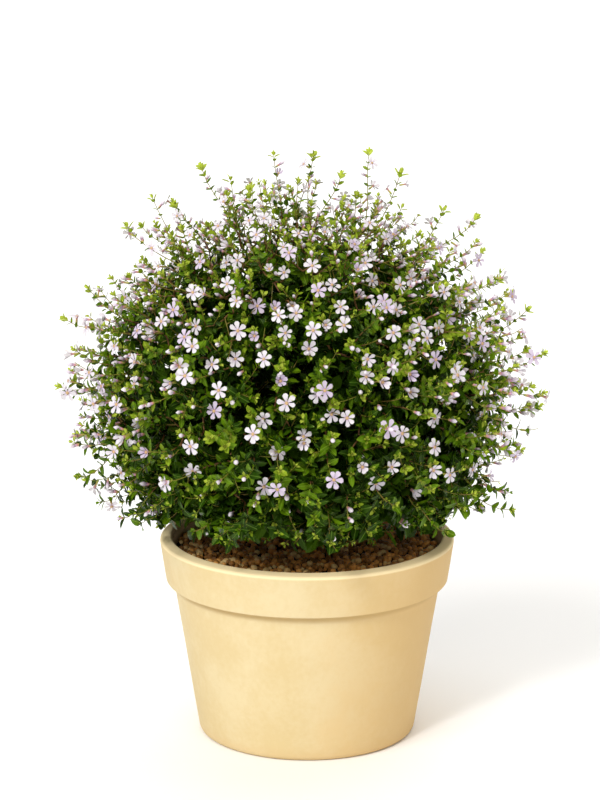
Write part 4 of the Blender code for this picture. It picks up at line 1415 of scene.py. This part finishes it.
def dealGranules(bed, edge):
    chance = random.Random(medium["seed"])
    groups = {"brown": [], "red": [], "ochre": []}
    trunk = Vector((wood["foot"].x, wood["foot"].y, 0.0))
    rowGap = medium["spacing"] * medium["rowStep"]
    for row in range(int(2 * edge / rowGap) + 2):
        for column in range(int(2 * edge / medium["spacing"]) + 2):
            x = -edge + (column + 0.5 * (row % 2)) * medium["spacing"]
            place = Vector((x, -edge + row * rowGap, 0.0)) + anyLevel(chance) * medium["wander"]
            size = chance.uniform(medium["least"], medium["most"])
            size *= medium["smaller"] if chance.random() < medium["smallShare"] else 1.0
            if place.length > edge - size * medium["edgeGap"] or (place - trunk).length < wood["footRadius"]:
                continue
            heap = medium["heap"] * noise.noise(place * medium["heapScale"]) + chance.uniform(*medium["lift"])
            place.z = bed + medium["above"] + heap + size * 0.5
            turn = acrossOf(up, chance.uniform(0.0, math.tau))
            tilt = (up + anyLevel(chance) * medium["tilt"]).normalized()
            turn = (turn - tilt * turn.dot(tilt)).normalized()
            draw = chance.random()
            group = next(group for group, (least, *tones) in medium["groups"].items() if draw > least)
            long = size * chance.uniform(*medium["stretch"])
            groups[group].append((place, turnOf(turn, tilt), (long, size, size), chance.randrange(4)))
    return groups


def makeSoil():
    bed = soilTop - medium["bedDepth"]
    gap = medium["gap"]
    edge = mouthRadius(bed) - gap
    foot, floor = pot["floorWidth"] / 2, pot["floor"]
    outline = [Vector((edge * ring / medium["bedRings"], bed)) for ring in range(medium["bedRings"] + 1)]
    corner = medium["corner"]
    for radius, height in ((foot - gap, floor + corner), (foot - corner, floor + gap), (0.0, floor + gap)):
        outline.append(Vector((radius, height)))
    ground = turned("soilBed", outline, medium["bedSides"], unevenSoil)
    settle(ground, mottledFinish("soilBed", *medium["bedShadeTones"], *medium["bedFinish"]))
    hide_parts("soil")
    lumps = patternSet("granule", granulePattern, [(seed,) for seed in range(4)])
    for group, items in dealGranules(bed, edge).items():
        finish = mottledFinish(f"granule_{group}", *medium["groups"][group][1:], *medium["finish"])
        settle(makeScatter(f"granules_{group}", items, lumps, finish))


makeSoil()
print("growing medium filled")


# Studio: floor, camera and light

studio = {
    "floor": 30.0,
    "white": (0.97, 0.98, 1.0),
    "sky": ((1.0, 0.96, 0.88), 0.38),
    # name, direction towards the lamp, strength, angle, colour
    "lamps": (
        ("keySun", (-0.48, -0.6, 0.64), 1.35, 30.0, (1.0, 0.99, 0.97)),
        ("sparkSun", (-0.36, -0.68, 0.64), 0.75, 7.0, (1.0, 1.0, 0.98)),
        ("topSun", (0.06, 0.34, 0.94), 1.5, 60.0, (1.0, 1.0, 1.0)),
        ("fillSun", (0.14, -0.72, 0.68), 0.7, 45.0, (1.0, 0.93, 0.82)),
    ),
}
view = {
    "photoHeight": 800.0, "focal": 2900.0, "sensor": 36.0,
    "place": (-0.0048, -1.9028, 0.6878), "down": 13.5,
}

half = studio["floor"] / 2
corners = [(-half, -half, 0.0), (half, -half, 0.0), (half, half, 0.0), (-half, half, 0.0)]
floor = addObject("floor", newMesh("floor", corners, [(0, 1, 2, 3)]))
floorFinish, floorTree, floorShader = newFinish("paleFloor", 0.9, (0.9, 0.9, 0.9))
fill(floorTree, floorShader, {"Base Color": studio["white"]})
floor.data.materials.append(floorFinish)

world = bpy.data.worlds.new("studioSky")
world.use_nodes = True
fill(world.node_tree, world.node_tree.nodes["Background"], dict(enumerate(studio["sky"])))
bpy.context.scene.world = world
for name, toward, strength, angle, colour in studio["lamps"]:
    lamp = bpy.data.lights.new(name, "SUN")
    lamp.energy = strength
    lamp.angle = math.radians(angle)
    lamp.color = colour
    addObject(name, lamp).rotation_euler = Vector(toward).to_track_quat("Z", "Y").to_euler()

lens = bpy.data.cameras.new("camera")
lens.sensor_fit = "VERTICAL"
lens.sensor_height = view["sensor"]
lens.sensor_width = view["sensor"]
lens.lens = view["focal"] / view["photoHeight"] * view["sensor"]
camera = addObject("camera", lens)
camera.location = view["place"]
camera.rotation_euler = (math.radians(90.0 - view["down"]), 0.0, 0.0)
bpy.context.scene.camera = camera
bpy.context.scene.view_settings.view_transform = "Standard"
print("studio lit")
